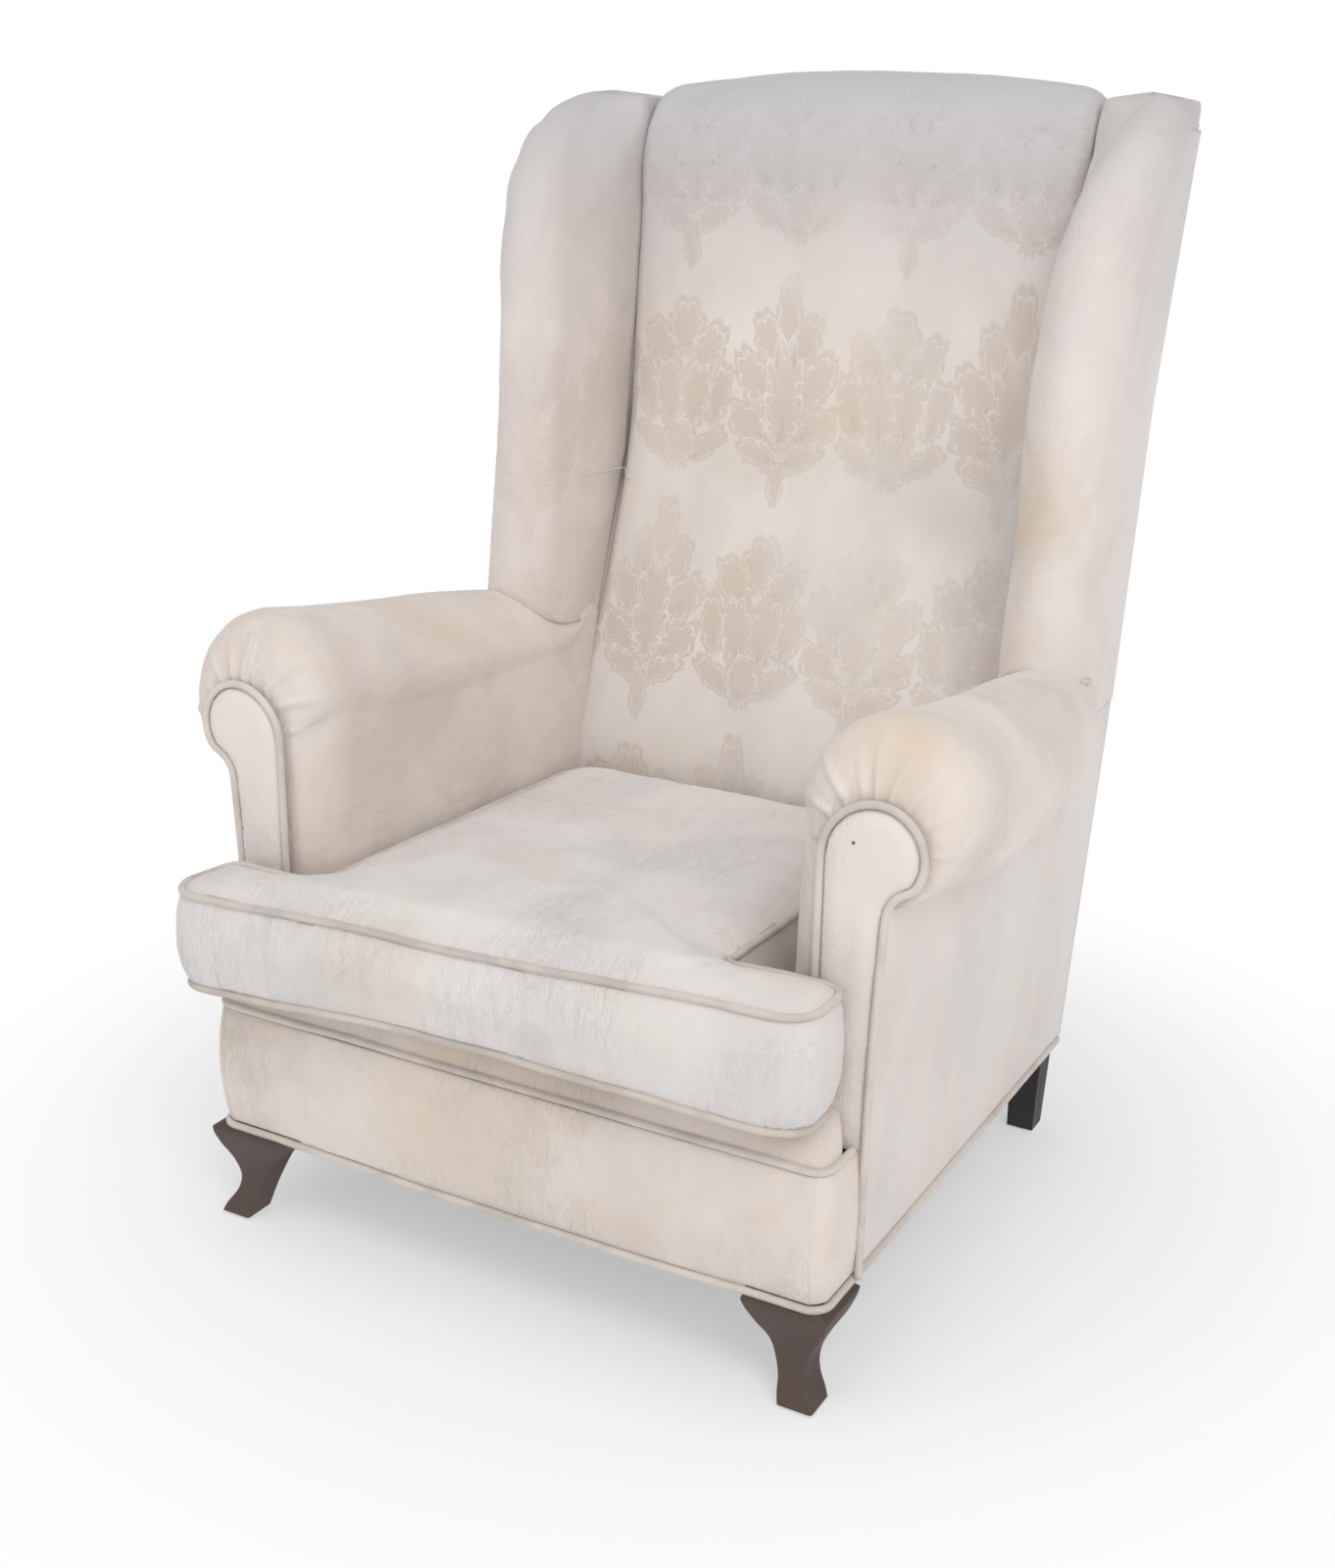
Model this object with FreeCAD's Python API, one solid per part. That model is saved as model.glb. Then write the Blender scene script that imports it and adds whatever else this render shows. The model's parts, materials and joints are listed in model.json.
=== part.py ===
import FreeCAD, Part
import math
import os

# Wingback armchair, in millimetres.
# The origin is on the floor under the middle of the chair. X runs to the right
# as seen from the front, Y from front to back, Z up. Left is the -X side.

V = FreeCAD.Vector
X_AXIS = V(1, 0, 0)
Y_AXIS = V(0, 1, 0)
Z_AXIS = V(0, 0, 1)
QUARTER = math.sqrt(0.5)     # where a quarter arc has its middle, of the radius

# Base and overall sizes
base_half = 338.0            # base cover, outside, from the middle
base_corner = 18.0           # its front corners
base_depth = 634.0           # base cover, front face to outside back
base_bottom = 105.0          # floor to underside of the rails
back_top = 1138.0            # floor to the crown of the back
back_rake = 9.98             # degrees that the outside back leans
arm_top = 613.0              # floor to the top of the arm roll, in front

# Boards of the frame
rail_height = 118.0
rail_thick = 25.0
stile_width = 28.0
stile_depth = 45.0
stile_inset = 10.0           # stile outer face inside the base cover
stile_short = 75.0           # stile top below the crown of the back
crest_drop = 34.0            # crest rail below the top of the back
crest_height = 62.0
crest_thick = 25.0
low_back_gap = 72.0          # back rail to lower back rail
low_back_height = 45.0
block_leg = 55.0
block_lift = 12.0            # corner block above the underside of the rails
block_height = 80.0

# Covers and panels
cover_thick = 8.0            # padded cover of the base and of the outside arm
panel_thick = 4.0            # outside back and outside wing
piping_r = 4.0
piping_gap = 0.3             # piping to the panel that it edges

# Arm facing, measured from the base half width and from the arm top
facing_setback = 64.0        # base front to arm facing
facing_thick = 9.0
facing_width = 46.0          # inner edge to outer edge, low down
facing_out = 2.0             # outer edge outside the base, low down
neck_out = 10.0              # neck of the scroll outside the base
neck_drop = 161.0            # neck below the arm top
lobe_out = 2.0               # middle of the scroll outside the base
lobe_drop = 107.0            # middle of the scroll below the arm top
lobe_r = 40.0
shoulder_drop = 12.0         # inner edge starts to curve below the middle of the scroll
tail_angle = 38.0            # degrees below level where the scroll turns into the neck
post_thick = 28.0
post_inset = 10.0            # post outline inside the facing outline

# Arm boards
arm_rail_width = 34.0
arm_rail_in = 1.0            # outer edge inside the base half width
arm_rail_thick = 26.0
arm_rail_drop = 113.0        # top of the arm rail below the arm top, in front
arm_rail_fall = 22.0         # front to rear
low_rail_lift = 39.0         # lower arm rail above the side rail
low_rail_height = 30.0

# Arm stuffing
arm_in = 84.0                # inside face at the deck, inside the base half width
arm_dome = 52.0              # depth of the gathered front of the roll
gather_lip = 8.0             # piping width round the facing
crease_out = 12.0            # where the roll meets the outside panel
seam_drop = 127.0            # seam of outside arm and outside wing below the arm top

# Arm roll: share of the arm length, inner and outer face against the base half
# width, top and crease below the arm top
roll_stations = (
    (0.112, -76.0, 80.0, 0.0, 155.0),
    (0.212, -75.0, 77.0, 9.0, 171.0),
    (0.304, -74.0, 74.0, 15.0, 179.0),
    (0.396, -73.0, 70.0, 21.0, 183.0),
    (0.589, -72.0, 60.0, 33.0, 182.0),
    (0.747, -71.0, 46.0, 46.0, 174.0),
    (0.863, -70.0, 28.0, 56.0, 167.0),
    (0.903, -69.0, 20.0, 58.0, 143.0),
    (0.930, -69.0, 8.0, 59.0, 127.0),
    (0.960, -69.0, -5.0, 60.0, 126.0),
    (1.040, -69.0, -6.0, 64.0, 126.0),
)

# Wings: share of the wing height, roll middle against the base half width,
# roll middle ahead of the outside back, roll radius
wing_foot_drop = 143.0       # lowest station below the arm top
wing_top_drop = 31.0         # highest station below the crown of the back
wing_stations = (
    (0.000, -22.0, 190.0, 37.0),
    (0.144, -22.0, 190.0, 38.0),
    (0.303, -21.0, 192.0, 38.0),
    (0.455, -21.0, 199.0, 38.0),
    (0.619, -18.0, 209.0, 38.0),
    (0.776, -9.0, 208.0, 38.0),
    (0.879, -1.0, 184.0, 36.0),
    (0.951, 3.0, 144.0, 30.0),
    (0.989, 1.0, 109.0, 20.0),
    (1.000, -2.0, 94.0, 12.0),
)
wing_board_thick = 16.0
wing_board_depth = 36.0
wing_board_back = 34.0       # wing post behind the front of the roll
wing_post_top = 0.879        # share of the wing height where the post ends
wing_rail_drop = 64.0        # wing rail below the crown of the back
wing_rail_height = 36.0
wing_panel_back = 62.0       # front edge of the outside wing panel behind the roll middle
wing_panel_top = 0.951       # share of the wing height where the panel ends
wing_corner_low = 5.0        # outside back corner outside the base, low down
wing_corner_high = 16.0      # the same at the top
flare_start = 0.52           # share of the wing height where the corner flares out
wing_fill = 3.0              # crown of the inside wing
wing_above_seam = 2.0        # padding starts this far above the seam between arm and wing

# Inside back: share of its height, thickness at the seams and at the middle
back_in = 68.0               # seam inside the base half width
back_roll_in = 34.0          # how far from the seam the face is full
back_edge_drop = 19.0        # top at the full part below the crown
back_seam_drop = 34.0        # top at the seam below the crown
back_ridge = 41.0            # ridge of the top ahead of the outside back
back_heel = 42.0             # rear edge of the roll below the ridge
back_stations = (
    (0.02, 110.0, 112.0),
    (0.15, 123.0, 133.0),
    (0.24, 107.0, 131.0),
    (0.38, 76.0, 112.0),
    (0.51, 56.0, 96.0),
    (0.70, 70.0, 104.0),
    (0.89, 82.0, 108.0),
)
back_fullness = ((0.0, 0.0), (0.13, 0.62), (0.56, 0.93), (1.0, 1.0))
side_wall = 30.0             # stuffing left beside the hollow for the back springs

# Seat deck and cushion
seat_slope = 2.5             # degrees, falls to the rear
deck_lift = 48.0             # deck above the rails at the arm facings
deck_base = 6.0              # underside of the deck above the rails
deck_inset = 16.0            # deck side inside the base cover, in front of the arms
deck_front_gap = 10.0        # base front to deck lip
deck_side_gap = 5.0
lip_depth = 44.0
lip_height = 7.0
cushion_height = 118.0
ear_in = 8.0                 # ear inside the base half width
body_gap = 30.0              # cushion body to inside arm
cushion_front = 52.0         # front face ahead of the base
ear_gap = 14.0               # ear behind face to arm facing
rear_gap = 3.0               # cushion to inside back, at the nearest
cushion_shift = 20.0         # the loose cushion lies this far to the left
cushion_turn = 1.0           # degrees
cushion_corner = 34.0
cushion_notch = 26.0
ear_corner = 14.0
cushion_lift = 0.3           # clearance to the deck
cover_skin = 1.2
zip_share = 0.48             # height of the zip in the rear of the cover
zip_width = 4.0
piping_low_share = 0.06      # height of the lower piping, of the cushion height
piping_high_share = 0.86

# Side profile of the cushion: share of its height, how far its face is drawn in
cushion_levels = (
    (0.00, 30.0), (0.03, 17.0), (0.09, 9.0), (0.20, 3.5), (0.34, 0.7), (0.48, 0.0), (0.62, 0.7),
    (0.75, 3.5), (0.86, 8.0), (0.91, 18.0), (0.95, 36.0), (0.98, 64.0), (1.00, 110.0),
)

# Front leg: share of its height, then inner, outer, front and rear faces,
# the first two against the base half width, the others behind the base front
front_leg_rows = (
    (0.000, -36.0, -1.0, -10.0, 26.0),
    (0.070, -38.0, -4.0, -7.0, 28.0),
    (0.200, -41.0, -12.0, 1.0, 33.0),
    (0.370, -46.0, -15.0, 5.0, 40.0),
    (0.550, -52.0, -8.0, 3.0, 50.0),
    (0.740, -66.0, 3.0, -4.0, 58.0),
    (0.910, -76.0, 8.0, -8.0, 66.0),
    (1.000, -79.0, 7.0, -6.0, 68.0),
)
front_leg_edge = 3.0
rear_foot_width = 30.0
rear_top_width = 36.0
rear_leg_edge = 1.5
rear_leg_setback = 8.0       # leg behind face ahead of the outside back
rear_leg_taper = 10.0        # the foot's behind face ahead of that

# Metal parts and cloths
glide_r = 11.0
glide_height = 3.0
bolt_r = 4.0
bolt_length = 95.0
bolt_in_leg = 45.0
bolt_in_block = 15.0         # front bolt behind the front rail
bolt_beside = 5.0            # front bolt beside the side rail
screw_r = 2.2
screw_length = 45.0
screw_margin = 20.0
spring_wire_r = 1.9
spring_reach = 32.0          # half width of a sinuous spring
spring_pitch = 30.0
spring_count = 5
back_spring_count = 3
clip_width = 16.0
clip_length = 10.0
clip_thick = 1.2
dust_thick = 1.0

# Worked out from the sizes above
rake = math.radians(back_rake)
slope = math.radians(seat_slope)
rail_top = base_bottom + rail_height
border_top = rail_top + cover_thick
deck_low = rail_top + deck_base
deck_front_z = rail_top + deck_lift
back_panel_drop = back_heel + 2.0
back_panel_top = back_top - back_panel_drop
front_reach = (cushion_front + (base_half - ear_in - cushion_corner) * math.sin(math.radians(cushion_turn))
               - 0.35 * cushion_height * math.sin(slope))
rear_reach = (back_panel_top - base_bottom) * math.tan(rake)
overall_depth = front_reach + base_depth + rear_reach
front_y = front_reach - overall_depth / 2.0
rear_base_y = front_y + base_depth
inner_half = base_half - cover_thick
stile_outer = base_half - stile_inset
stile_inner = stile_outer - stile_width
back_seam = base_half - back_in
arm_inner = base_half - arm_in
arm_length = base_depth - facing_setback
crease_x = base_half + crease_out
facing_y = front_y + facing_setback
facing_outer = base_half + facing_out
facing_inner = facing_outer - facing_width
rail_front_y = front_y + cover_thick
rail_back_y = rail_front_y + rail_thick
post_y = facing_y + facing_thick
post_back_y = post_y + post_thick
arm_rail_front_z = arm_top - arm_rail_drop
arm_rail_rear_z = arm_rail_front_z - arm_rail_fall
low_rail_z = rail_top + low_rail_lift
seam_z = arm_top - seam_drop
wing_foot_z = arm_top - wing_foot_drop
wing_rise = back_top - wing_top_drop - wing_foot_z
low_back_at = rail_height + low_back_gap
far = 2.0 * back_top         # longer than the chair any way

os.makedirs("parts", exist_ok=True)


def save(name, shape):
    shape.exportStep("parts/" + name + ".step")


def rear_y(z):
    """Outside back at height z."""
    return rear_base_y + (z - base_bottom) * math.tan(rake)


def lean(shape):
    """Put a shape drawn upright, with its back at y = 0 and its foot at z = 0, against the outside back."""
    out = shape.copy()
    out.rotate(V(0, 0, 0), X_AXIS, -back_rake)
    out.translate(V(0, rear_base_y, base_bottom))
    return out


def mirrored(shape):
    return shape.mirror(V(0, 0, 0), X_AXIS)


def line(a, b):
    return Part.LineSegment(a, b).toShape()


def arc(a, mid, b):
    return Part.Arc(a, mid, b).toShape()


def box(x0, x1, y0, y1, z0, z1):
    return Part.makeBox(x1 - x0, y1 - y0, z1 - z0, V(x0, y0, z0))


def prism(points, direction):
    """Straight-sided solid on a closed outline."""
    wire = Part.makePolygon(list(points) + [points[0]])
    return Part.Face(wire).extrude(direction)


def loft(wires, ruled=False):
    solid = Part.makeLoft(wires, True, ruled)
    if solid.Volume < 0:
        solid.reverse()
    return solid


def cut_all(shape, tools):
    """Take each tool out of a shape, where the two boxes meet."""
    for tool in tools:
        if shape.BoundBox.intersect(tool.BoundBox):
            shape = shape.cut(tool)
    return shape


def main_solid(shape):
    return max(shape.Solids, key=lambda s: s.Volume)


def ahead_of_back(shape, depth):
    """The part of a shape that is at least depth ahead of the outside back."""
    return main_solid(shape.common(lean(box(-far, far, -far, -depth, -far, far))))


def tube(path_edges, radius):
    """Round tube along a path of lines and arcs."""
    wire = Part.Wire(path_edges)
    first = path_edges[0]
    start = first.valueAt(first.FirstParameter)
    heading = first.tangentAt(first.FirstParameter)
    ring = Part.Wire(Part.makeCircle(radius, start, heading))
    return wire.makePipeShell([ring], True, False)


def interpolate(table, key, column):
    """Value of a column of a table at a key, straight between rows."""
    last = len(table) - 2
    for i in range(len(table) - 1):
        low = table[i]
        high = table[i + 1]
        if key <= high[0] or i == last:
            share = (key - low[0]) / (high[0] - low[0])
            return low[column] + share * (high[column] - low[column])


def rounded_rect(x0, x1, y0, y1, z, r):
    k = r * (1.0 - QUARTER)
    edges = [
        line(V(x0 + r, y0, z), V(x1 - r, y0, z)),
        arc(V(x1 - r, y0, z), V(x1 - k, y0 + k, z), V(x1, y0 + r, z)),
        line(V(x1, y0 + r, z), V(x1, y1 - r, z)),
        arc(V(x1, y1 - r, z), V(x1 - k, y1 - k, z), V(x1 - r, y1, z)),
        line(V(x1 - r, y1, z), V(x0 + r, y1, z)),
        arc(V(x0 + r, y1, z), V(x0 + k, y1 - k, z), V(x0, y1 - r, z)),
        line(V(x0, y1 - r, z), V(x0, y0 + r, z)),
        arc(V(x0, y0 + r, z), V(x0 + k, y0 + k, z), V(x0 + r, y0, z)),
    ]
    return Part.Wire(edges)


# Legs

def front_leg():
    """Short square cabriole: knee, ankle and foot on the outer faces, a plain taper inside."""
    knee_top = base_bottom - 2.0 * piping_r - piping_gap
    wires = []
    for share, inner, outer, front, rear in front_leg_rows:
        z = glide_height + share * (knee_top - glide_height)
        wires.append(rounded_rect(base_half + inner, base_half + outer, front_y + front,
                                  front_y + rear, z, front_leg_edge))
    top = front_leg_rows[-1]
    inside_piping = piping_r + piping_gap
    plan = [rounded_rect(base_half + top[1], base_half - inside_piping, front_y + inside_piping,
                         front_y + top[4], z, base_corner - inside_piping)
            for z in (knee_top, base_bottom)]
    return main_solid(loft(wires).fuse(loft(plan, ruled=True)).removeSplitter())


def rear_leg():
    """Plain square taper under the back stile."""
    rear = rear_base_y - panel_thick - rear_leg_setback
    outer = base_half - piping_r - piping_gap
    mid = outer - rear_top_width / 2.0
    foot_rear = rear - rear_leg_taper
    half = rear_foot_width / 2.0
    foot = rounded_rect(mid - half, mid + half, foot_rear - rear_foot_width, foot_rear,
                        glide_height, rear_leg_edge)
    top = rounded_rect(outer - rear_top_width, outer, rear - rear_top_width, rear,
                       base_bottom, rear_leg_edge)
    return loft([foot, top], ruled=True)


def leg_bolts():
    """Dowel screws that hold the legs, right side."""
    front = V(inner_half - rail_thick - bolt_beside, rail_back_y + bolt_in_block, 0)
    rear = V(stile_outer - stile_width / 2.0,
             rear_base_y - panel_thick - rear_leg_setback - rear_top_width / 2.0, 0)
    bolts = []
    for mid in (front, rear):
        foot = V(mid.x, mid.y, base_bottom - bolt_in_leg)
        bolts.append(Part.makeCylinder(bolt_r, bolt_length, foot, Z_AXIS))
    return bolts


def leg_glides():
    """Nail-on glides, right side."""
    foot = front_leg_rows[0]
    front_mid = V(base_half + (foot[1] + foot[2]) / 2.0, front_y + (foot[3] + foot[4]) / 2.0, 0)
    rear_mid = V(base_half - piping_r - piping_gap - rear_top_width / 2.0,
                 rear_base_y - panel_thick - rear_leg_setback - rear_leg_taper - rear_foot_width / 2.0, 0)
    return [Part.makeCylinder(glide_r, glide_height, mid, Z_AXIS) for mid in (front_mid, rear_mid)]


# Frame

def front_rail():
    return box(-inner_half, inner_half, rail_front_y, rail_back_y, base_bottom, rail_top)


def back_stile():
    top = (back_top - stile_short - base_bottom) / math.cos(rake)
    shape = lean(box(stile_inner, stile_outer, -panel_thick - stile_depth, -panel_thick,
                     -stile_depth, top))
    return shape.common(box(0, far, -far, far, base_bottom, far))


def back_rail():
    shape = lean(box(-stile_inner, stile_inner, -panel_thick - rail_thick, -panel_thick,
                     -rail_thick, rail_height))
    return shape.common(box(-far, far, -far, far, base_bottom, rail_top))


def side_rail(stile):
    rail = box(inner_half - rail_thick, inner_half, rail_back_y, rear_y(rail_top), base_bottom, rail_top)
    return ahead_of_back(rail.cut(stile), panel_thick + stile_depth / 2.0)


def corner_block_front():
    x = inner_half - rail_thick
    low = base_bottom + block_lift
    points = [V(x, rail_back_y, low), V(x - block_leg, rail_back_y, low), V(x, rail_back_y + block_leg, low)]
    return prism(points, V(0, 0, block_height))


def corner_block_rear(stile, side):
    x = inner_half - rail_thick
    low = base_bottom + block_lift
    y = rear_y(low) - (panel_thick + rail_thick) / math.cos(rake)
    behind = y + rail_thick
    points = [V(x, behind, low), V(x - block_leg, behind, low), V(x - block_leg, y, low),
              V(x, y - block_leg, low)]
    block = cut_all(prism(points, V(0, 0, block_height)), (stile, side))
    return ahead_of_back(block, panel_thick + rail_thick)


def scroll_outline(inset, low_z):
    """Edges of the arm scroll outline, from the inner foot over the top to the outer foot."""
    r = lobe_r - inset
    mid = V(base_half + lobe_out, 0, arm_top - lobe_drop)
    x_in = facing_inner + inset
    tail = math.radians(-tail_angle)

    def on_lobe(angle):
        return mid + V(r * math.cos(angle), 0, r * math.sin(angle))

    foot_in = V(x_in, 0, low_z)
    shoulder = V(x_in, 0, mid.z - shoulder_drop)
    top = on_lobe(math.radians(90.0))
    rise = V(mid.x - (mid.x - x_in) * QUARTER, 0, shoulder.z + (top.z - shoulder.z) * QUARTER)
    outer = on_lobe(0.0)
    high = on_lobe(math.radians(45.0))
    low = on_lobe(tail)
    mid_tail = on_lobe(tail / 2.0)
    neck = V(base_half + neck_out - inset, 0, arm_top - neck_drop - inset)
    throat = (low + neck) * 0.5 + V(-4.0, 0, 3.0)
    foot_out = V(facing_outer - inset, 0, low_z)
    waist = (neck + foot_out) * 0.5 + V(-1.5, 0, 0)
    return [
        line(foot_in, shoulder),
        arc(shoulder, rise, top),
        arc(top, high, outer),
        arc(outer, mid_tail, low),
        arc(low, throat, neck),
        arc(neck, waist, foot_out),
    ]


def scroll_board(inset, low_z, y0, thick):
    edges = scroll_outline(inset, low_z)
    first = edges[0].Vertexes[0].Point
    last = edges[-1].Vertexes[-1].Point
    wire = Part.Wire(edges + [line(last, first)])
    solid = Part.Face(wire).extrude(V(0, thick, 0))
    solid.translate(V(0, y0, 0))
    return solid


def arm_post():
    return scroll_board(post_inset, rail_top, post_y, post_thick)


def arm_rail(stile):
    """Top board of the arm, falling to the rear, with its end beside the stile."""
    x0 = base_half - arm_rail_in - arm_rail_width
    rear = rear_y(arm_rail_rear_z)
    points = [V(x0, post_back_y, arm_rail_front_z), V(x0, rear, arm_rail_rear_z),
              V(x0, rear, arm_rail_rear_z - arm_rail_thick),
              V(x0, post_back_y, arm_rail_front_z - arm_rail_thick)]
    board = prism(points, V(arm_rail_width, 0, 0)).cut(stile)
    beside = box(0, stile_outer, rear - stile_depth - 2.0 * arm_rail_thick, far, 0, far)
    tongue = ahead_of_back(board.cut(beside), panel_thick + stile_depth / 2.0)
    front = ahead_of_back(board, panel_thick + stile_depth)
    return main_solid(front.fuse(main_solid(tongue.common(
        box(stile_outer, inner_half + panel_thick, -far, far, 0, far)))).removeSplitter())


def low_arm_rail():
    rail = box(stile_inner, stile_outer, post_back_y, rear_base_y + rail_height, low_rail_z,
               low_rail_z + low_rail_height)
    return ahead_of_back(rail, panel_thick + stile_depth)


def wing_z(share):
    """Height at a share of the wing."""
    return wing_foot_z + share * wing_rise


def wing_share(z):
    return (z - wing_foot_z) / wing_rise


def wing_at(z, column):
    return interpolate(wing_stations, wing_share(z), column)


def wing_mid_y(z):
    """Middle of the wing roll."""
    return rear_y(z) - wing_at(z, 2)


def wing_post(board):
    """Upright at the front of the wing, standing on the arm rail."""
    x = stile_outer
    depth = V(0, wing_board_depth, 0)
    low_z = arm_rail_rear_z - arm_rail_thick
    mid_z = wing_z(wing_post_top / 2.0)
    top_z = wing_z(wing_post_top)
    front = [V(x, wing_mid_y(z) - lobe_r + wing_board_back, z) for z in (low_z, mid_z, top_z)]
    edges = [
        line(front[0] + depth, front[0]),
        arc(front[0], front[1], front[2]),
        line(front[2], front[2] + depth),
        arc(front[2] + depth, front[1] + depth, front[0] + depth),
    ]
    post = Part.Face(Part.Wire(edges)).extrude(V(wing_board_thick, 0, 0))
    above = prism([V(0, post_back_y, arm_rail_front_z), V(0, rear_y(arm_rail_rear_z), arm_rail_rear_z),
                   V(0, rear_y(arm_rail_rear_z), back_top), V(0, post_back_y, back_top)],
                  V(far, 0, 0))
    return main_solid(post.cut(board).common(above))


def wing_rail():
    """Curved top board of the wing, from its post back beside the stile."""
    x = stile_outer
    low = wing_z(wing_post_top)
    y0 = wing_mid_y(low) - lobe_r + wing_board_back
    top = back_top - wing_rail_drop
    under = top - wing_rail_height
    rise = top - low
    y1 = rear_y(under)
    edges = [
        line(V(x, y0 + wing_board_depth, low), V(x, y0, low)),
        arc(V(x, y0, low), V(x, y0 + 0.38 * rise, low + 0.62 * rise), V(x, y0 + 1.2 * rise, top)),
        line(V(x, y0 + 1.2 * rise, top), V(x, y1, top)),
        line(V(x, y1, top), V(x, y1, under)),
        line(V(x, y1, under), V(x, y0 + 1.35 * rise, under)),
        arc(V(x, y0 + 1.35 * rise, under), V(x, y0 + 0.9 * rise, under - 0.1 * rise),
            V(x, y0 + wing_board_depth, low)),
    ]
    board = Part.Face(Part.Wire(edges)).extrude(V(wing_board_thick, 0, 0))
    return ahead_of_back(board, 2.0 * panel_thick)


def top_of_back(x):
    """Height of the top of the back, an arch that drops at the seams."""
    full = back_seam - back_roll_in
    if abs(x) <= full:
        return back_top - back_edge_drop * (x / full) ** 2
    share = (abs(x) - full) / back_roll_in
    return back_top - back_edge_drop - (back_seam_drop - back_edge_drop) * share ** 2


def crest_rail():
    """Arched top rail between the stiles."""
    up = 1.0 / math.cos(rake)
    end_z = (back_top - back_seam_drop - crest_drop - base_bottom) * up
    mid_z = (back_top - crest_drop - base_bottom) * up
    low_z = end_z - crest_height
    y = -panel_thick
    edges = [
        arc(V(-stile_inner, y, end_z), V(0, y, mid_z), V(stile_inner, y, end_z)),
        line(V(stile_inner, y, end_z), V(stile_inner, y, low_z)),
        line(V(stile_inner, y, low_z), V(-stile_inner, y, low_z)),
        line(V(-stile_inner, y, low_z), V(-stile_inner, y, end_z)),
    ]
    return lean(Part.Face(Part.Wire(edges)).extrude(V(0, -crest_thick, 0)))


def low_back_rail():
    return lean(box(-stile_inner, stile_inner, -panel_thick - crest_thick, -panel_thick,
                    low_back_at, low_back_at + low_back_height))


def frame_screws():
    """Long screws through the outer faces into the stiles and the side rails, right side."""
    screws = []
    for z in (rail_top - screw_margin, base_bottom + 2.0 * screw_margin):
        into_stile = V(inner_half, rear_y(z) - (panel_thick + stile_depth + screw_margin), z)
        screws.append(Part.makeCylinder(screw_r, rail_thick, into_stile, V(-1, 0, 0)))
        into_side = V(inner_half - rail_thick / 2.0, rail_front_y, z)
        screws.append(Part.makeCylinder(screw_r, screw_length, into_side, Y_AXIS))
    return screws


# Springs

def zigzag(length):
    """Sinuous spring in the XY plane, from y = 0 to y = length, its ends on the middle line."""
    r = spring_pitch / 2.0
    turns = int(length / spring_pitch - 1.2)
    margin = (length - turns * spring_pitch) / 2.0
    flat = spring_reach - r
    k = r * (1.0 - QUARTER)
    here = V(r, margin, 0)
    edges = [line(V(0, 0, 0), V(0, margin - r, 0)), arc(V(0, margin - r, 0), V(k, margin - k, 0), here)]
    side = 1.0
    for i in range(turns):
        y = margin + i * spring_pitch
        edges.append(line(here, V(side * flat, y, 0)))
        here = V(side * flat, y + spring_pitch, 0)
        edges.append(arc(V(side * flat, y, 0), V(side * spring_reach, y + r, 0), here))
        side = -side
    y = here.y
    edges.append(line(here, V(-side * r, y, 0)))
    edges.append(arc(V(-side * r, y, 0), V(-side * k, y + k, 0), V(0, y + r, 0)))
    edges.append(line(V(0, y + r, 0), V(0, length, 0)))
    return tube(edges, spring_wire_r)


def seat_springs():
    """Springs from the front rail to the back rail, and their clips."""
    span_front = rail_front_y + rail_thick * 0.4
    span_rear = rear_y(rail_top) - panel_thick - rail_thick * 0.6
    z = rail_top + clip_thick + spring_wire_r
    spacing = 2.0 * arm_inner / (spring_count + 1)
    springs = []
    clips = []
    for i in range(spring_count):
        x = -arm_inner + spacing * (i + 1)
        spring = zigzag(span_rear - span_front)
        spring.translate(V(x, span_front, z))
        springs.append(spring)
        for y in (span_front, span_rear):
            clips.append(box(x - clip_width / 2.0, x + clip_width / 2.0, y - clip_length / 2.0,
                             y + clip_length / 2.0, rail_top, rail_top + clip_thick))
    return springs, clips


def back_spring_span():
    """Top of the lower back rail and underside of the crest rail, along the lean."""
    low = low_back_at + low_back_height
    high = (back_top - back_seam_drop - crest_drop - base_bottom) / math.cos(rake) - crest_height
    return low, high


def back_springs():
    """Springs from the lower back rail to the crest rail, and their clips."""
    low, high = back_spring_span()
    overlap = clip_length
    y = -panel_thick - crest_thick - clip_thick - spring_wire_r
    spacing = 2.0 * back_seam / (back_spring_count + 1)
    springs = []
    clips = []
    for i in range(back_spring_count):
        x = -back_seam + spacing * (i + 1)
        spring = zigzag(high - low + 2.0 * overlap)
        spring.rotate(V(0, 0, 0), X_AXIS, 90.0)
        spring.translate(V(x, y, low - overlap))
        springs.append(lean(spring))
        for z in (low - overlap, high + overlap):
            clip = box(x - clip_width / 2.0, x + clip_width / 2.0, y + spring_wire_r,
                       y + spring_wire_r + clip_thick, z - clip_length / 2.0, z + clip_length / 2.0)
            clips.append(lean(clip))
    return springs, clips


def back_hollow():
    """Room for the back springs behind the stuffing."""
    low, high = back_spring_span()
    depth = panel_thick + crest_thick + clip_thick + 2.0 * spring_wire_r
    half = back_seam - side_wall
    return lean(box(-half, half, -depth, 0, low - 2.0 * clip_length, high + 2.0 * clip_length))


# Soft forms

def back_z(share):
    return deck_low + share * (back_top - deck_low)


def back_face(z, fullness):
    """Face of the inside back at height z, from the seam (0) to the middle (1)."""
    share = (z - deck_low) / (back_top - deck_low)
    seam = interpolate(back_stations, share, 1)
    middle = interpolate(back_stations, share, 2)
    return rear_y(z) - seam - fullness * (middle - seam)


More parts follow.
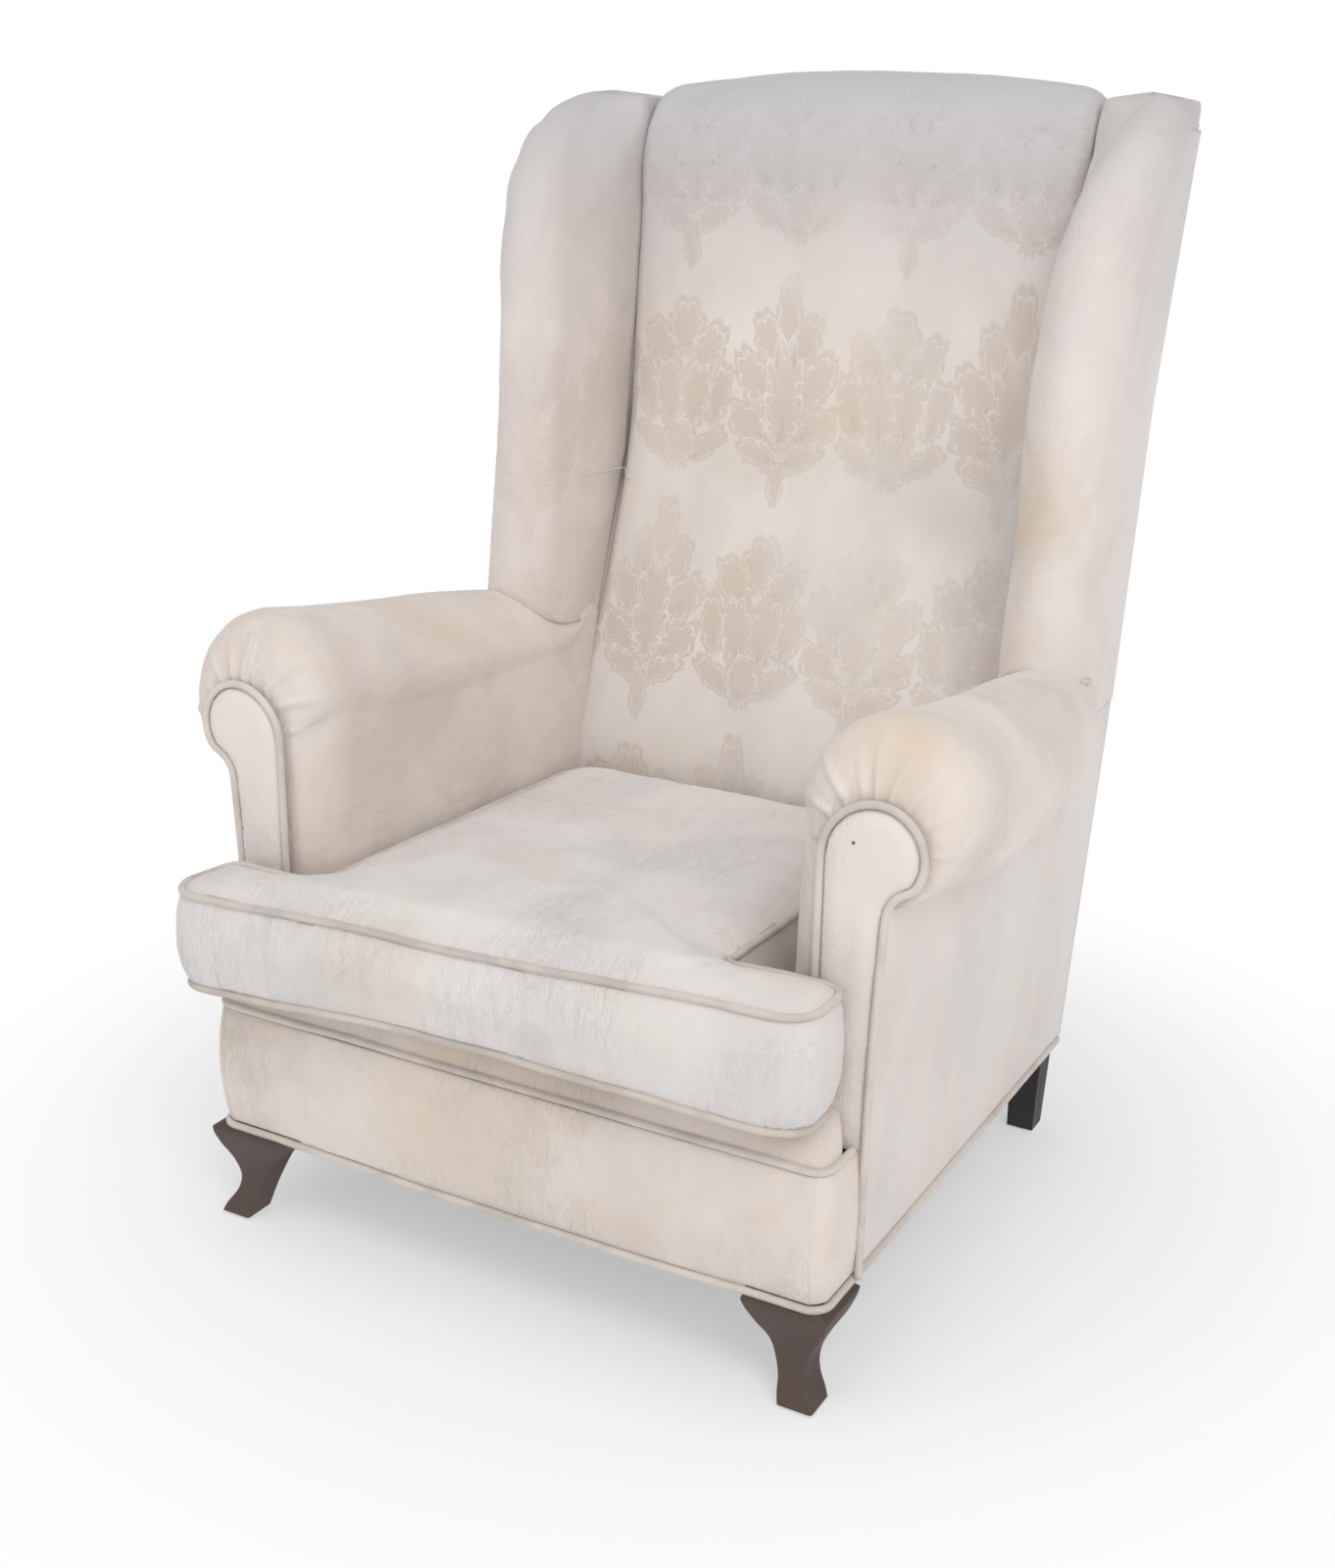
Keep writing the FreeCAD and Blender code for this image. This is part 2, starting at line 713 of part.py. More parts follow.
def inside_back():
    """Crowned pad between the wing seams, rolled over the crest rail."""
    shares = [(-back_seam * (1.0 - s), f) for s, f in back_fullness]
    shares += [(-x, f) for x, f in reversed(shares[:-1])]
    knee, hip, neck = (back_z(s) for s in (0.24, 0.51, 0.89))
    low_mid, hip_mid, neck_mid = (back_z(s) for s in (0.12, 0.38, 0.70))
    wires = []
    for x, fullness in shares:
        def face(z):
            return V(x, back_face(z, fullness), z)

        top = top_of_back(x)
        ridge = V(x, rear_y(top) - back_ridge, top)
        heel = V(x, rear_y(top - back_heel), top - back_heel)
        foot = V(x, rear_y(deck_low), deck_low)
        over = face(neck)
        roll = V(x, over.y + 0.24 * (ridge.y - over.y), neck + 0.68 * (top - neck))
        edges = [
            arc(face(deck_low), face(low_mid), face(knee)),
            arc(face(knee), face(hip_mid), face(hip)),
            arc(face(hip), face(neck_mid), over),
            arc(over, roll, ridge),
            arc(ridge, V(x, heel.y - 8.0, top - 12.0), heel),
            line(heel, foot),
            line(foot, face(deck_low)),
        ]
        wires.append(Part.Wire(edges))
    return ahead_of_back(loft(wires), panel_thick)


def wing_corner_x(z):
    """Half width at the outside back corner at height z."""
    share = max(0.0, wing_share(z) - flare_start) / (1.0 - flare_start)
    return base_half + wing_corner_low + share * (wing_corner_high - wing_corner_low)


def wing_panel_edge(z):
    """Front edge of the outside wing panel at height z."""
    mid_y = wing_mid_y(z)
    rear = rear_y(z)
    out = base_half + wing_at(z, 1) + wing_at(z, 3)
    step = min(wing_panel_back, 0.5 * (rear - mid_y))
    share = step / (rear - mid_y)
    return V(out + (wing_corner_x(z) - out) * share, mid_y + step, z)


def inside_wing():
    """Stuffed wing: rolled front edge, inside face back to the seam, and the core behind it."""
    wires = []
    for share, out, lead, r in wing_stations:
        z = wing_z(share)
        mid = V(base_half + out, rear_y(z) - lead, z)
        seam = V(back_seam, min(back_face(z, 0.0), rear_y(z) - stile_depth), z)
        edge = wing_panel_edge(z)
        corner = wing_corner_x(z)
        inner = mid + V(-r, 0, 0)
        front = mid + V(0, -r, 0)
        outer = mid + V(r, 0, 0)
        thick = V(-panel_thick, 0, 0)
        edges = [
            arc(seam, (seam + inner) * 0.5 + V(-wing_fill, 0, 0), inner),
            arc(inner, mid + V(-r * QUARTER, -r * QUARTER, 0), front),
            arc(front, mid + V(r * QUARTER, -r * QUARTER, 0), outer),
            line(outer, edge),
            line(edge, edge + thick),
            line(edge + thick, V(corner, rear_y(z), z) + thick),
            line(V(corner, rear_y(z), z) + thick, V(back_seam, rear_y(z), z)),
            line(V(back_seam, rear_y(z), z), seam),
        ]
        wires.append(Part.Wire(edges))
    return ahead_of_back(loft(wires, ruled=True), panel_thick)


def outside_wing():
    """Thin panel on the outer side of the wing."""
    wires = []
    heights = [seam_z] + [wing_z(row[0]) for row in wing_stations if 0.1 < row[0] <= wing_panel_top]
    thick = V(-panel_thick, 0, 0)
    for z in heights:
        edge = wing_panel_edge(z)
        corner = V(wing_corner_x(z), rear_y(z), z)
        wires.append(Part.makePolygon([edge, corner, corner + thick, edge + thick, edge]))
    return ahead_of_back(loft(wires, ruled=True), panel_thick)


def arm_section(y, foot_x, x_in, x_out, top, crease_z):
    """Upright section of the arm: inside face, roll, crease and the back of the stuffing."""
    mid_x = (x_in + x_out) / 2.0
    mid_z = (top + crease_z) / 2.0
    half_w = (x_out - x_in) / 2.0
    half_h = (top - crease_z) / 2.0
    spring_z = mid_z - 0.2 * half_h
    inner_low = V(foot_x, y, deck_low)
    inner_high = V(x_in, y, spring_z)
    crown = V(mid_x, y, top)
    outer = V(x_out, y, mid_z)
    throat = V(min(crease_x, x_out - 10.0), y, crease_z)
    core = V(stile_inner, y, crease_z)
    core_low = V(stile_inner, y, deck_low)
    edges = [
        arc(inner_low, (inner_low + inner_high) * 0.5 + V(-4.0, 0, 0), inner_high),
        arc(inner_high, V(mid_x - half_w * QUARTER, y, mid_z + half_h * QUARTER), crown),
        arc(crown, V(mid_x + half_w * QUARTER, y, mid_z + half_h * QUARTER), outer),
        arc(outer, V(mid_x + half_w * 0.72, y, mid_z - half_h * 0.74), throat),
        line(throat, core),
        line(core, core_low),
        line(core_low, inner_low),
    ]
    return Part.Wire(edges)


def inside_arm():
    """Inside face and roll in one stuffed piece, gathered in at the facing."""
    first = roll_stations[0]
    lip_x = facing_inner - gather_lip
    lobe_x = base_half + lobe_out
    lobe_z = arm_top - lobe_drop
    reach = lobe_r + gather_lip
    start = (lip_x, lip_x, lobe_x + reach, lobe_z + reach, arm_top - neck_drop + gather_lip / 2.0)
    end = (arm_inner, base_half + first[1], base_half + first[2], arm_top - first[3], arm_top - first[4])
    wires = []
    y0 = facing_y + piping_r
    for share in (0.0, 0.06, 0.2, 0.42, 0.7):
        swell = math.sqrt(1.0 - (1.0 - share) ** 2)
        values = [a + swell * (b - a) for a, b in zip(start, end)]
        wires.append(arm_section(y0 + share * arm_dome, *values))
    for share, inner, outer, drop, crease in roll_stations:
        wires.append(arm_section(facing_y + share * arm_length, arm_inner, base_half + inner,
                                 base_half + outer, arm_top - drop, arm_top - crease))
    return ahead_of_back(loft(wires, ruled=True), panel_thick + stile_depth)


def outside_arm():
    """Outside arm panel, up to the crease under the roll and the seam of the wing."""
    rows = ((base_bottom, base_half, base_half),
            ((base_bottom + seam_z) / 2.0, facing_outer, base_half + wing_corner_low / 2.0),
            (arm_top - neck_drop, crease_x, base_half + wing_corner_low),
            (seam_z, crease_x + facing_out, base_half + wing_corner_low))
    thick = V(-cover_thick, 0, 0)
    wires = []
    for z, x_front, x_rear in rows:
        front = V(x_front, post_y, z)
        rear = V(x_rear, rear_y(z), z)
        wires.append(Part.makePolygon([front, rear, rear + thick, front + thick, front]))
    panel = loft(wires, ruled=True)
    crease = [V(0, facing_y + row[0] * arm_length, arm_top - row[4]) for row in roll_stations]
    above = [V(0, post_y - cover_thick, crease[0].z)] + crease
    above += [V(0, far, crease[-1].z), V(0, far, far), V(0, post_y - cover_thick, far)]
    return ahead_of_back(main_solid(panel.cut(prism(above, V(far, 0, 0)))), panel_thick)


def border_wire(z, swell):
    """Plan of the front border, wrapped round both front corners."""
    half = base_half + swell
    y0 = front_y - swell
    y1 = post_y
    t = cover_thick + swell
    r = base_corner + 2.0
    k = r * (1.0 - QUARTER)
    edges = [
        line(V(-half, y1, z), V(-half, y0 + r, z)),
        arc(V(-half, y0 + r, z), V(-half + k, y0 + k, z), V(-half + r, y0, z)),
        arc(V(-half + r, y0, z), V(0, y0 - 3.0, z), V(half - r, y0, z)),
        arc(V(half - r, y0, z), V(half - k, y0 + k, z), V(half, y0 + r, z)),
        line(V(half, y0 + r, z), V(half, y1, z)),
        line(V(half, y1, z), V(half - t, y1, z)),
        line(V(half - t, y1, z), V(half - t, y0 + t, z)),
        line(V(half - t, y0 + t, z), V(t - half, y0 + t, z)),
        line(V(t - half, y0 + t, z), V(t - half, y1, z)),
        line(V(t - half, y1, z), V(-half, y1, z)),
    ]
    return Part.Wire(edges)


def front_border():
    mid = (base_bottom + border_top) / 2.0
    return loft([border_wire(base_bottom, 0.0), border_wire(mid, 5.0), border_wire(border_top, 0.0)])


def base_path(z, inset, y_end):
    """Path round the front of the base at one height."""
    r = base_corner
    half = base_half - inset
    y0 = front_y + inset
    k = r * (1.0 - QUARTER)
    return [
        line(V(-half, y_end, z), V(-half, y0 + r, z)),
        arc(V(-half, y0 + r, z), V(-half + k, y0 + k, z), V(-half + r, y0, z)),
        line(V(-half + r, y0, z), V(half - r, y0, z)),
        arc(V(half - r, y0, z), V(half - k, y0 + k, z), V(half, y0 + r, z)),
        line(V(half, y0 + r, z), V(half, y_end, z)),
    ]


def border_piping():
    path = base_path(border_top + piping_r, piping_r / 2.0, facing_y - 2.0 * piping_r)
    return tube(path, piping_r)


def base_piping():
    """Piping round the foot of the cover, closed at the back."""
    z = base_bottom - piping_r
    half = base_half
    back = rear_base_y
    r = base_corner - piping_r
    k = r * (1.0 - QUARTER)
    edges = base_path(z, 0.0, back - r)
    edges += [
        arc(V(half, back - r, z), V(half - k, back - k, z), V(half - r, back, z)),
        line(V(half - r, back, z), V(r - half, back, z)),
        arc(V(r - half, back, z), V(k - half, back - k, z), V(-half, back - r, z)),
    ]
    return tube(edges, piping_r)


def facing_piping():
    """Piping from the cushion over the scroll and down the seam beside the border."""
    shapes = []
    for edge in scroll_outline(-piping_r - piping_gap, border_top):
        moved = edge.copy()
        moved.translate(V(0, facing_y, 0))
        shapes.append(moved)
    end = shapes[-1].Vertexes[-1].Point
    shapes.append(line(end, V(end.x, end.y, base_bottom)))
    return tube(shapes, piping_r)


def outside_back():
    """Outside back panel with the arch of the back along its top."""
    up = 1.0 / math.cos(rake)
    corner_z = (wing_z(wing_panel_top) - base_bottom) * up
    flare_z = (wing_z(flare_start) - base_bottom) * up
    side_z = (back_panel_top - back_seam_drop - base_bottom) * up
    top_z = (back_panel_top - base_bottom) * up
    waist = base_half + wing_corner_low
    high = wing_corner_x(wing_z(wing_panel_top))
    outline = [V(base_half, 0, 0), V(waist, 0, (seam_z - base_bottom) * up), V(waist, 0, flare_z),
               V(high, 0, corner_z), V(back_seam, 0, side_z)]
    edges = [line(V(-base_half, 0, 0), outline[0])]
    edges += [line(a, b) for a, b in zip(outline, outline[1:])]
    left = [V(-p.x, 0, p.z) for p in reversed(outline)]
    edges.append(arc(outline[-1], V(0, 0, top_z), left[0]))
    edges += [line(a, b) for a, b in zip(left, left[1:])]
    panel = Part.Face(Part.Wire(edges)).extrude(V(0, -panel_thick, 0))
    return lean(panel)


def seat_deck(back):
    """Padded platform under the cushion, with a rounded lip behind the border."""
    fall = math.tan(slope)
    y0 = front_y + deck_front_gap
    y1 = rear_base_y
    lip_z = deck_low + lip_height
    crown_y = y0 + lip_depth
    crown_z = deck_front_z - (crown_y - facing_y) * fall
    end_z = deck_front_z - (y1 - facing_y) * fall
    half = base_half - deck_inset
    edges = [
        line(V(-half, y0, deck_low), V(-half, y0, lip_z)),
        arc(V(-half, y0, lip_z), V(-half, y0 + lip_depth * 0.34, lip_z + (crown_z - lip_z) * 0.72),
            V(-half, crown_y, crown_z)),
        line(V(-half, crown_y, crown_z), V(-half, y1, end_z)),
        line(V(-half, y1, end_z), V(-half, y1, deck_low)),
        line(V(-half, y1, deck_low), V(-half, y0, deck_low)),
    ]
    slab = Part.Face(Part.Wire(edges)).extrude(V(2.0 * half, 0, 0))
    beside = arm_inner - deck_side_gap
    ahead = facing_y - piping_r - piping_gap
    slab = slab.cut(box(beside, far, ahead, far, 0, far)).cut(box(-far, -beside, ahead, far, 0, far))
    return main_solid(slab.cut(back))


def cushion_plan():
    """Front, back of the ears and rear of the cushion before it is laid on the deck."""
    half_body = arm_inner - body_gap
    front = front_y - cushion_front
    ear_rear = facing_y - ear_gap
    turned = half_body * math.sin(math.radians(cushion_turn)) + cushion_height * math.sin(slope)
    nearest = min(back_face(z, 1.0) for z in (deck_front_z, deck_front_z + cushion_height))
    return front, ear_rear, nearest - turned - rear_gap


def cushion_edges(inset, z):
    """T-shaped plan of the cushion, all its sides moved in by the inset."""
    front, ear_rear, rear = cushion_plan()
    ear = base_half - ear_in - inset
    body = arm_inner - body_gap - inset
    across_ear = min(inset, 0.4 * (ear_rear - front))
    y0 = front + across_ear
    y1 = ear_rear - across_ear
    y2 = rear - inset
    r = max(cushion_corner - inset * 0.5, 6.0)
    n = cushion_notch + across_ear * 0.5
    e = max(ear_corner - inset * 0.2, 5.0)
    d = 1.0 - QUARTER

    def turn(corner, before, after):
        """Arc in a corner, from the side before it to the side after it."""
        mid = corner + before * d + after * d
        return arc(corner + before, mid, corner + after)

    return [
        line(V(-ear + r, y0, z), V(ear - r, y0, z)),
        turn(V(ear, y0, z), V(-r, 0, 0), V(0, r, 0)),
        line(V(ear, y0 + r, z), V(ear, y1 - e, z)),
        turn(V(ear, y1, z), V(0, -e, 0), V(-e, 0, 0)),
        line(V(ear - e, y1, z), V(body + n, y1, z)),
        turn(V(body, y1, z), V(n, 0, 0), V(0, n, 0)),
        line(V(body, y1 + n, z), V(body, y2 - r, z)),
        turn(V(body, y2, z), V(0, -r, 0), V(-r, 0, 0)),
        line(V(body - r, y2, z), V(-body + r, y2, z)),
        turn(V(-body, y2, z), V(r, 0, 0), V(0, -r, 0)),
        line(V(-body, y2 - r, z), V(-body, y1 + n, z)),
        turn(V(-body, y1, z), V(0, n, 0), V(-n, 0, 0)),
        line(V(-body - n, y1, z), V(-ear + e, y1, z)),
        turn(V(-ear, y1, z), V(e, 0, 0), V(0, -e, 0)),
        line(V(-ear, y1 - e, z), V(-ear, y0 + r, z)),
        turn(V(-ear, y0, z), V(0, r, 0), V(r, 0, 0)),
    ]


def place_cushion(shape):
    """Lay a level cushion piece on the sloping deck, shifted and turned as it was left."""
    out = shape.copy()
    out.rotate(V(0, front_y + base_depth / 2.0, 0), Z_AXIS, cushion_turn)
    out.rotate(V(0, facing_y, 0), X_AXIS, -seat_slope)
    out.translate(V(-cushion_shift, 0, deck_front_z + cushion_lift))
    return out


def cushion_solid(skin):
    wires = []
    for share, inset in cushion_levels:
        z = min(max(share * cushion_height, skin), cushion_height - skin)
        wires.append(Part.Wire(cushion_edges(inset + skin, z)))
    return loft(wires, ruled=True)


def cushion_zip():
    """Opening along the rear of the cover, where its zip is."""
    rear = cushion_plan()[2]
    half = arm_inner - body_gap - cushion_corner
    z = zip_share * cushion_height
    return box(-half, half, rear - 2.0 * cushion_corner, rear + cushion_corner, z, z + zip_width)


def cushion_piping(share, inset):
    return tube(cushion_edges(inset, share * cushion_height), piping_r)


def dust_cover(legs, bolts):
    cloth = box(-inner_half, inner_half, rail_front_y, rear_base_y - 2.0 * panel_thick,
                base_bottom - dust_thick, base_bottom)
    return main_solid(cut_all(cloth, legs + bolts))


def seat_hessian():
    low = rail_top + clip_thick + 2.0 * spring_wire_r
    rear = rear_y(rail_top) - panel_thick - rail_thick * 0.4
    return box(-arm_inner, arm_inner, rail_front_y + 2.0, rear, low, deck_low)


# Build

bolts = leg_bolts()
screws = frame_screws()
stile = cut_all(back_stile(), bolts)
side_board = cut_all(side_rail(stile), screws)
front_board = cut_all(front_rail(), screws + [mirrored(s) for s in screws])
back_board = back_rail()
post = arm_post()
top_board = arm_rail(stile)
wing_upright = wing_post(top_board)
wing_top = wing_rail()
crest = crest_rail()
low_back = low_back_rail()
leg_front = cut_all(front_leg(), bolts)
leg_rear = cut_all(rear_leg(), bolts)
back_panel = outside_back()

pad_back = main_solid(cut_all(inside_back(), [crest, low_back, back_hollow()]))
facing = scroll_board(0.0, border_top, facing_y, facing_thick)
facing_pipe = main_solid(facing_piping().cut(facing))
whole_arm = inside_arm()
pad_arm = main_solid(cut_all(whole_arm, [top_board, post, facing, wing_upright, pad_back]))
panel_arm = main_solid(cut_all(outside_arm(), [facing_pipe, facing, top_board, whole_arm]))
panel_wing = main_solid(outside_wing().cut(whole_arm))
under_wing = box(0, far, -far, far, 0, seam_z + wing_above_seam)
pad_wing = main_solid(cut_all(inside_wing(), [under_wing, whole_arm, stile, top_board, wing_upright, wing_top,
                                              crest, panel_arm, panel_wing, pad_back]))

pairs = {
    "front_leg": leg_front,
    "rear_leg": leg_rear,
    "side_rail": side_board,
    "corner_block_front": cut_all(corner_block_front(), bolts + screws),
    "corner_block_rear": corner_block_rear(stile, side_board),
    "arm_post": post,
    "arm_rail": top_board,
    "low_arm_rail": low_arm_rail(),
    "back_stile": stile,
    "wing_post": wing_upright,
    "wing_rail": wing_top,
    "arm_facing": facing,
    "facing_piping": facing_pipe,
    "inside_arm": pad_arm,
    "inside_wing": pad_wing,
    "outside_arm": panel_arm,
    "outside_wing": panel_wing,
}
for name, shape in pairs.items():
    save(name + "_right", shape)
    save(name + "_left", mirrored(shape))

for name, shapes in (("leg_bolts", bolts), ("leg_glides", leg_glides()), ("frame_screws", screws)):
    save(name, Part.Compound(shapes + [mirrored(s) for s in shapes]))

save("front_rail", front_board)
save("back_rail", back_board)
save("crest_rail", crest)
save("low_back_rail", low_back)
save("inside_back", pad_back)
save("outside_back", back_panel)
save("front_border", main_solid(cut_all(front_border(), [facing_pipe, mirrored(facing_pipe)])))
save("border_piping", border_piping())
save("base_piping", base_piping())
save("seat_deck", seat_deck(pad_back))

cushion_outer = cushion_solid(0.0)
cushion_inner = cushion_solid(cover_skin)
pipe_low = cushion_piping(piping_low_share, 11.0).cut(cushion_outer)
pipe_high = cushion_piping(piping_high_share, 5.0).cut(cushion_outer)
cover = main_solid(cushion_outer.cut(cushion_inner.fuse(cushion_zip())))
save("cushion_cover", place_cushion(cover))
save("cushion_core", place_cushion(cushion_inner))
save("cushion_piping_low", place_cushion(main_solid(pipe_low)))
save("cushion_piping_high", place_cushion(main_solid(pipe_high)))

seat_wires, seat_clips = seat_springs()
back_wires, back_clips = back_springs()
save("seat_springs", Part.Compound(seat_wires))
save("back_springs", Part.Compound(back_wires))
save("spring_clips", Part.Compound(seat_clips + back_clips))
save("seat_hessian", seat_hessian())
legs = [leg_front, leg_rear, mirrored(leg_front), mirrored(leg_rear)]
save("dust_cover", dust_cover(legs, bolts + [mirrored(b) for b in bolts]))
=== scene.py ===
import json
import math

import bpy
import numpy as np
from bpy.props import FloatProperty, FloatVectorProperty, IntProperty, PointerProperty
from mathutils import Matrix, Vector
from mathutils.bvhtree import BVHTree
from mathutils.kdtree import KDTree
from mathutils.noise import noise


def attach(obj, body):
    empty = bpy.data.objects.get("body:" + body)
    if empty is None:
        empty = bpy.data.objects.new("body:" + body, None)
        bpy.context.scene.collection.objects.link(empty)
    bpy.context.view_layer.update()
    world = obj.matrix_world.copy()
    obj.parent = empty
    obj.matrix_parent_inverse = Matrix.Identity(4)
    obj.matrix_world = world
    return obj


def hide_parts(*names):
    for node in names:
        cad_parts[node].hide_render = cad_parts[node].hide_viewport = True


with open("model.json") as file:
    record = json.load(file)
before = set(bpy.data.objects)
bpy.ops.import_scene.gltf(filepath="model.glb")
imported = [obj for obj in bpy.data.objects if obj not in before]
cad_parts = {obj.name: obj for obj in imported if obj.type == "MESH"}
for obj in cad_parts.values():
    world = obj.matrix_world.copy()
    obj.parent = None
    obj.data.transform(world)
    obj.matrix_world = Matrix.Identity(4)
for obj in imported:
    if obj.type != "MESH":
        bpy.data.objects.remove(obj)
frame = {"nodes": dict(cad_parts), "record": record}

bl_info = {
    "name": "Wingback armchair",
    "version": (1, 0, 0),
    "blender": (4, 5, 0),
    "location": "3D View > Sidebar > Chair",
    "description": "Builds the looks of the wingback armchair around its construction",
    "category": "Object",
}

# Sizes shared with the construction, in metres
BASE_HALF = 0.338
BASE_CORNER = 0.018
BASE_DEPTH = 0.634
BASE_BOTTOM = 0.105
FRONT_Y = -0.37633
REAR_Y = FRONT_Y + BASE_DEPTH
BACK_TOP = 1.138
RAKE = math.tan(math.radians(9.98))
ARM_TOP = 0.613
FACING_Y = FRONT_Y + 0.064
BORDER_TOP = 0.231
DECK_LOW = 0.229
DECK_FRONT_Z = 0.271
SEAT_SLOPE = math.radians(2.5)
ARM_LENGTH = BASE_DEPTH - 0.064
BACK_SEAM = 0.270
STILE_INNER = 0.300
ARM_INNER = 0.254
CREASE_X = 0.350
SEAM_Z = ARM_TOP - 0.127
PIPING = 0.004
WING_FOOT_Z = ARM_TOP - 0.143
WING_TOP = BACK_TOP - 0.031
WING_RISE = WING_TOP - WING_FOOT_Z
LOBE_X = BASE_HALF + 0.002
LOBE_Z = ARM_TOP - 0.107
LOBE_R = 0.040
FACING_INNER = 0.294
FACING_OUTER = 0.340
NECK_X = BASE_HALF + 0.010
NECK_Z = ARM_TOP - 0.161
CUSHION_HEIGHT = 0.118
CUSHION_ROOM = 0.030
CUSHION_OVERHANG = 0.052
CUSHION_TURN = math.radians(1.0)
CUSHION_SHIFT = -0.020
EAR_GAP = 0.014
EAR_SHORT = 0.008
PANEL = 0.004
PANEL_SPREAD = 0.005

# Top of the inside back: stretch beside each wing, crown, fall beside the wing
TOP_CORNER = 0.034
TOP_CROWN = 0.019
TOP_FALL = 0.015

# Arm roll: share of the arm length, inner and outer face, top drop, crease drop
ROLL = np.array((
    (0.112, -0.076, 0.080, 0.000, 0.155),
    (0.212, -0.075, 0.077, 0.009, 0.171),
    (0.304, -0.074, 0.074, 0.015, 0.179),
    (0.396, -0.073, 0.070, 0.021, 0.183),
    (0.589, -0.072, 0.060, 0.033, 0.182),
    (0.747, -0.071, 0.046, 0.046, 0.174),
    (0.863, -0.070, 0.028, 0.056, 0.167),
    (0.903, -0.069, 0.020, 0.058, 0.143),
    (0.930, -0.069, 0.008, 0.059, 0.127),
    (0.960, -0.069, -0.005, 0.060, 0.126),
    (1.000, -0.069, -0.006, 0.062, 0.126),
))

# Wing: share of its height, roll middle across, roll middle ahead of the outside back, roll radius
WING = np.array((
    (0.000, -0.022, 0.190, 0.037),
    (0.144, -0.022, 0.190, 0.038),
    (0.303, -0.021, 0.192, 0.038),
    (0.455, -0.021, 0.199, 0.038),
    (0.619, -0.018, 0.209, 0.038),
    (0.776, -0.009, 0.208, 0.038),
    (0.879, -0.001, 0.184, 0.036),
    (0.951, 0.003, 0.144, 0.030),
    (0.989, 0.001, 0.109, 0.020),
    (1.000, -0.002, 0.094, 0.012),
))

# Inside back: share of its height, thickness at the seam and in the middle
BACK = np.array((
    (0.02, 0.110, 0.112),
    (0.15, 0.123, 0.133),
    (0.24, 0.107, 0.131),
    (0.38, 0.076, 0.112),
    (0.51, 0.056, 0.096),
    (0.70, 0.070, 0.104),
    (0.89, 0.082, 0.108),
))

# Inside back: place from the seam to the middle, share of the middle's thickness
BACK_FULL = np.array(((0.0, 0.12), (0.06, 0.44), (0.13, 0.62), (0.30, 0.80), (0.56, 0.93), (1.0, 1.0)))

# Cushion: share of its height, how far its side is drawn in
CUSHION = np.array((
    (0.00, 0.030), (0.03, 0.017), (0.09, 0.009), (0.20, 0.0035), (0.34, 0.0007), (0.48, 0.0),
    (0.62, 0.0007), (0.75, 0.0035), (0.86, 0.008), (0.91, 0.018), (0.95, 0.036), (0.98, 0.064),
    (1.00, 0.110),
))

# Front leg: share of its height, inner and outer faces, front and rear faces
LEG = np.array((
    (0.000, -0.036, -0.001, -0.010, 0.026),
    (0.070, -0.038, -0.004, -0.007, 0.028),
    (0.200, -0.041, -0.012, 0.001, 0.033),
    (0.370, -0.046, -0.015, 0.005, 0.040),
    (0.550, -0.052, -0.008, 0.003, 0.050),
    (0.740, -0.066, 0.003, -0.004, 0.058),
    (0.910, -0.076, 0.008, -0.008, 0.066),
    (1.000, -0.079, 0.007, -0.006, 0.068),
))


class ChairSizes(bpy.types.PropertyGroup):
    """Sizes of the looks that the construction leaves open"""

    seam_depth: FloatProperty(
        name="Seam depth", description="How far the pads roll in at a seam", default=0.012, unit="LENGTH")
    seam_width: FloatProperty(
        name="Seam roll", description="Width over which a pad rolls in", default=0.016, unit="LENGTH")
    piping: FloatProperty(
        name="Piping", description="Radius of the piping", default=0.0037, unit="LENGTH")
    pleat: FloatProperty(
        name="Pleats", description="Height of the pleats on the arm fronts", default=0.0058, unit="LENGTH")
    facing_dome: FloatProperty(
        name="Facing", description="Fullness of the arm facings", default=0.006, unit="LENGTH")
    panel_full: FloatProperty(
        name="Panels", description="Fullness of the outside panels", default=0.003, unit="LENGTH")
    wrinkle: FloatProperty(
        name="Wrinkles", description="Depth of the slack in the cover", default=0.0016, unit="LENGTH")
    sag: FloatProperty(
        name="Sag", description="Sag of the base piping between the legs", default=0.0035, unit="LENGTH")
    pressure: FloatProperty(
        name="Stuffing pressure", description="Pressure of the stuffing in the cloth simulation",
        default=4.0)
    frames: IntProperty(
        name="Frames", description="Length of the cloth simulation", default=16)
    puff: FloatProperty(
        name="Puff", description="Most that the stuffing moves the cover", default=0.005, unit="LENGTH")
    leg_edge: FloatProperty(
        name="Leg edge", description="Radius on the edges of the front legs", default=0.003, unit="LENGTH")


